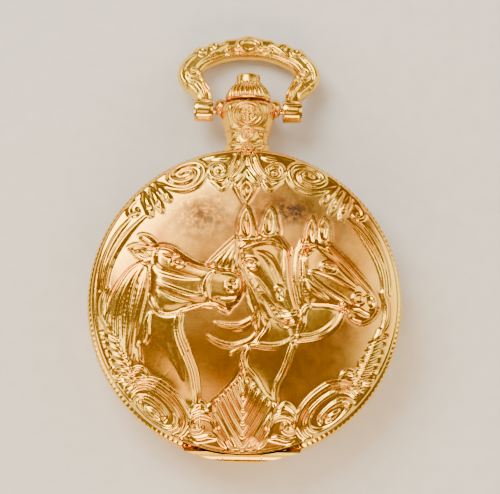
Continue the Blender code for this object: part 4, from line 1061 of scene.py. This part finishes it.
def make_bow():
    """The cast bow, made round a mirrored centre line, and the lug at each of its feet."""
    half = smooth_line([(max(p[0] * BOW_SCALE[0], 0), p[1] * BOW_SCALE[1]) for p in BOW_PATH], steps=14)
    inner = smooth_line([(k, p[2]) for k, p in enumerate(BOW_PATH)], steps=14)[:, 1]
    outer = smooth_line([(k, p[3]) for k, p in enumerate(BOW_PATH)], steps=14)[:, 1]
    centres = np.vstack([half, half[-2::-1] * [-1, 1]])
    inner = np.concatenate([inner, inner[-2::-1]])
    outer = np.concatenate([outer, outer[-2::-1]])
    ahead = np.gradient(centres, axis=0)
    ahead /= np.linalg.norm(ahead, axis=1)[:, None]
    outward = np.stack([ahead[:, 1], -ahead[:, 0]], axis=-1)
    # Small scrolls stand out of the outer edge.
    for x, size, spread in ((0.0, 0.22, 1.4), (2.9, 0.25, 0.45), (4.9, 0.45, 0.55), (6.8, 0.45, 0.55)):
        for side in (1, -1):
            near = np.abs(centres[:, 0] - side * x) + 9 * (centres[:, 1] < 7.4)
            outer += size * np.exp(-((near / spread) ** 2))
    ring = 72
    angles = np.linspace(0, TAU, ring, endpoint=False)
    reach = (np.abs(np.cos(angles)) ** 3 + np.abs(np.sin(angles)) ** 3) ** (-1 / 3)
    across = np.cos(angles) * reach
    deep = np.sin(angles) * reach * BOW_THICK
    verts = []
    for centre, way, low, high in zip(centres, outward, inner, outer):
        width = np.where(across > 0, across * high, across * low)
        verts.append(np.column_stack([centre + width[:, None] * way, deep * np.ones(ring)]))
    verts = np.vstack(verts)
    ledge = centres - outward * (0.55 * inner)[:, None]
    middle = (0.0, float(ledge[len(half) - 1][1]))
    ledge = [(float(px), float(py)) for px, py in ledge[: len(half) : 6]] + [middle]
    lift = bow_relief(verts[:, 0], verts[:, 1], ledge) - 0.12
    front = np.clip(np.abs(verts[:, 2]) / BOW_THICK, 0, 1)
    verts[:, 2] += np.sign(verts[:, 2]) * lift * front
    rows = len(centres)
    faces = []
    for i in range(rows - 1):
        for j in range(ring):
            k = (j + 1) % ring
            faces.append((i * ring + j, (i + 1) * ring + j, (i + 1) * ring + k, i * ring + k))
    cap(faces, 0, ring)
    cap(faces, (rows - 1) * ring, ring, flip=True)
    turn = np.array(Matrix.Rotation(-BOW_DROOP, 3, "X"))
    place = np.array(BOW_PIVOT)
    made = make_object("bow_cast", verts @ turn.T + place, faces, "gold_cast", "bow", 50)
    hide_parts("bow")
    lug = [(0.53, 5.15), (1.4, 5.15), (1.62, 5.22), (1.72, 5.4), (1.74, 6.0), (1.74, 7.3), (1.7, 7.8),
           (1.58, 8.0), (1.4, 8.05), (0.95, 8.05), (0.95, 7.5), (0.53, 7.5)]
    for side in (1, -1):
        verts, faces = revolve(lug, 72)
        verts = stepped(np.stack([verts[:, 2], verts[:, 0], verts[:, 1]], axis=-1))
        verts[:, 0] *= side
        if side < 0:
            faces = turned_over(faces)
        name = "bow_lug_right" if side > 0 else "bow_lug_left"
        made = make_object(name, verts @ turn.T + place, faces, "gold", "bow", 40)
        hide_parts("bow")


# ---------------------------------------------------------------- crown and button


def about_stem(verts):
    """Turns points round Z into points round the stem's axis, which lies along Y."""
    return verts[:, [0, 2, 1]] * [1, 1, -1] + [0, 0, AXIS_Z]


def make_crown():
    """The fluted crown, the domed button in it, and the pin that joins the button's rod to its collar."""
    low, top = CROWN_LOW, CROWN_TOP
    profile = [
        (0.55, low), (2.6, low), (2.85, low + 0.03), (3.15, low + 0.2), (3.34, low + 0.45),
        (3.4, low + 0.75), (3.36, low + 1.1), (3.2, low + 1.5), (2.95, low + 1.95), (2.62, low + 2.35),
        (2.32, low + 2.65), (2.14, low + 2.86), (2.08, top), (1.9, top), (1.88, top - 0.1),
        (1.88, top - 1.4), (0.55, top - 1.4),
    ]
    line = [tuple(p) for p in smooth_line(profile[2:12], steps=5)]
    profile = profile[:2] + line + profile[12:]
    flutes, depth = 26, 0.3
    sides = 16 * flutes

    def shape(verts):
        radius = np.hypot(verts[:, 0], verts[:, 1])
        angle = np.arctan2(verts[:, 1], verts[:, 0])
        share = np.clip((verts[:, 2] - low - 0.5) / 0.15, 0, 1) * np.clip((radius - 2.1) / 0.25, 0, 1)
        wave = np.abs(np.cos(flutes * angle / 2)) ** 0.7
        scale = 1 - depth * share * (1 - wave) / np.maximum(radius, 1e-6)
        verts[:, 0] *= scale
        verts[:, 1] *= scale
        return about_stem(verts)

    verts, faces = revolve(profile, sides, shape)
    crown = make_object("crown_fluted", verts, faces, "gold_cast", "crown", 40)
    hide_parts("crown")

    top = BUTTON_TOP
    button = [(0.01, top), (1.0, top - 0.02), (1.45, top - 0.08), (1.68, top - 0.22), (1.78, top - 0.45),
              (1.78, top - 1.65), (1.42, top - 1.65), (1.42, top - 0.5), (0.85, top - 0.5),
              (0.85, top - 1.65), (0.24, top - 1.65), (0.24, 19.7), (0.01, 19.7)]
    verts, faces = revolve(button, 96, about_stem)
    made = make_object("push_button_domed", verts, faces, "gold_cast", "button", 40)
    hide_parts("push_button")
    pin = [(0.01, -1.1), (0.14, -1.1), (0.14, 1.1), (0.01, 1.1)]
    verts, faces = revolve(pin, 16, lambda v: v[:, [2, 0, 1]] + [0, COLLAR_Y, AXIS_Z])
    made = make_object("push_button_pin", verts, faces, "steel", "button", 40)
    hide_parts("push_button")


# ---------------------------------------------------------------- dial


def flat_shape(name, outlines, low, high, finish, body):
    """Flat pieces on the dial, one for each outline."""
    verts, faces = [], []
    for outline in outlines:
        first = len(verts)
        count = len(outline)
        verts += [(x, y, low) for x, y in outline] + [(x, y, high) for x, y in outline]
        faces.append(tuple(range(first + count, first + 2 * count)))
        faces.append(tuple(range(first + count - 1, first - 1, -1)))
        for k in range(count):
            m = (k + 1) % count
            faces.append((first + k, first + m, first + count + m, first + count + k))
    return make_object(name, verts, faces, finish, body)


def bar(radius_in, radius_out, half, angle):
    """A radial bar at a clockwise angle from 12."""
    c, s = math.cos(angle), math.sin(angle)
    corners = [(-half, radius_in), (half, radius_in), (half, radius_out), (-half, radius_out)]
    return [(x * c + y * s, y * c - x * s) for x, y in corners]


def make_dial():
    """The minute track and the twelve numerals."""
    surface = top_of("dial").z
    track_radius, numeral_radius, numeral_size = 17.2, 13.6, 3.6
    ticks = []
    for minute in range(60):
        angle = TAU * minute / 60
        inner, half = (16.2, 0.16) if minute % 5 == 0 else (16.6, 0.06)
        ticks.append(bar(inner, track_radius, half, angle))
    flat_shape("minute_track", ticks, surface + 0.005, surface + 0.035, "ink", "case")
    for hour in range(1, 13):
        text = bpy.data.curves.new(f"numeral_{hour}", "FONT")
        text.body = str(hour)
        text.size = numeral_size * MM
        text.extrude = 0.015 * MM
        text.align_x = "CENTER"
        text.align_y = "CENTER"
        text.materials.append(MATERIALS["ink"])
        angle = TAU * hour / 12
        made = bpy.data.objects.new(f"numeral_{hour}", text)
        bpy.context.scene.collection.objects.link(made)
        across, along = numeral_radius * math.sin(angle), numeral_radius * math.cos(angle)
        made.location = (across * MM, along * MM, (surface + 0.022) * MM)
        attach(made, "case")


# ---------------------------------------------------------------- carried-over nodes


NODE_MATERIALS = {
    "gold": ["lid_rim", "crystal_bezel", "case_knuckle_left", "case_knuckle_right", "bow_pin_left",
             "bow_pin_right"],
    "steel": ["hinge_pin", "lift_spring", "lid_catch", "pendant_tube", "stem", "clutch_pinion",
              "button_spring", "pusher_collar", "setting_lever", "bridge_screw_1", "bridge_screw_2",
              "battery_clamp", "coil_core", "stator", "rotor", "setting_wheel"],
    "brass": ["main_plate", "train_bridge", "fifth_wheel", "seconds_wheel", "third_wheel", "center_wheel",
              "minute_wheel", "hour_wheel"],
    "copper": ["drive_coil"],
    "nickel": ["battery", "quartz_oscillator"],
    "white": ["movement_holder", "crystal_gasket"],
    "green": ["circuit_board"],
    "chip": ["controller_chip"],
    "rubber": ["back_gasket"],
    "dial": ["dial"],
    "ink": ["hour_hand", "minute_hand", "second_hand"],
    "glass": ["crystal"],
}


def dress_nodes():
    for finish, nodes in NODE_MATERIALS.items():
        for node in nodes:
            mesh = frame["nodes"][node].data
            mesh.materials.clear()
            mesh.materials.append(MATERIALS[finish])


# ---------------------------------------------------------------- stage


# Each soft light: where it is in metres, its size, its watts and its colour. All of them face the watch.
LIGHTS = {
    "window": ((-0.24, 0.30, 0.44), (0.36, 0.36), 4.4, (1, 0.95, 0.86)),
    "right_window": ((0.38, 0.10, 0.30), (0.3, 0.5), 1.3, (1, 0.94, 0.82)),
    "left_window": ((-0.40, -0.12, 0.26), (0.2, 0.3), 0.8, (1, 0.9, 0.74)),
    "near_wall": ((0.0, -0.38, 0.22), (0.4, 0.14), 2.4, (1, 0.68, 0.36)),
    "lower_panel": ((-0.07, -0.17, 0.5), (0.24, 0.16), 0.26, (1, 0.68, 0.3)),
    "ceiling": ((0.05, 0.2, 0.6), (0.2, 0.2), 0.35, (1, 0.9, 0.75)),
}


def make_lights():
    for name, (place, size, power, colour) in LIGHTS.items():
        light = bpy.data.lights.new(name, "AREA")
        light.shape = "RECTANGLE"
        light.size, light.size_y = size
        light.energy = power
        light.color = colour
        made = bpy.data.objects.new(name, light)
        made.location = place
        made.rotation_euler = (-Vector(place)).to_track_quat("-Z", "Y").to_euler()
        bpy.context.scene.collection.objects.link(made)


def make_stage():
    material, nodes, links, shader = new_material("floor_paper")
    coords = nodes.new("ShaderNodeTexCoord")
    grain = noise(nodes, links, coords, 400, 5)
    tone = ramp(nodes, links, grain.outputs["Fac"], [(0.3, (0.74, 0.74, 0.72)), (0.7, (0.8, 0.8, 0.78))])
    links.new(tone, shader.inputs["Base Color"])
    shader.inputs["Roughness"].default_value = 0.9
    mesh = bpy.data.meshes.new("floor")
    half, low = 1.5, -0.00005
    corners = [(-half, -half, low), (half, -half, low), (half, half, low), (-half, half, low)]
    mesh.from_pydata(corners, [], [(0, 1, 2, 3)])
    mesh.materials.append(material)
    floor = bpy.data.objects.new("floor", mesh)
    bpy.context.scene.collection.objects.link(floor)

    world = bpy.data.worlds.new("studio")
    world.use_nodes = True
    background = world.node_tree.nodes["Background"]
    background.inputs["Color"].default_value = (1.0, 0.6, 0.32, 1)
    background.inputs["Strength"].default_value = 0.22
    bpy.context.scene.world = world


# How far the camera turns away from the point it moves round, so that the watch fills the frame.
AIM_UP, AIM_RIGHT = math.radians(1.627), math.radians(0.158)


def make_camera():
    """Nearly straight down on the lid, from a little towards 6 o'clock."""
    distance, tilt, roll = 0.28, math.radians(8.0), math.radians(1.0)
    target = Vector((0, 0, 8 * MM))
    camera = bpy.data.cameras.new("camera")
    made = bpy.data.objects.new("camera", camera)
    view = Matrix.Rotation(tilt, 3, "X") @ Matrix.Rotation(roll, 3, "Z")
    made.location = target + view @ Vector((0, 0, distance))
    aim = view @ Matrix.Rotation(AIM_UP, 3, "X") @ Matrix.Rotation(-AIM_RIGHT, 3, "Y")
    made.rotation_euler = aim.to_euler()
    camera.sensor_width = 36.0
    camera.lens = 138.7
    camera.clip_start = 0.01
    bpy.context.scene.collection.objects.link(made)
    bpy.context.scene.camera = made


make_camera()
make_stage()
make_lights()
dress_nodes()
make_lid()
make_case()
make_pendant()
make_bow()
make_crown()
make_dial()
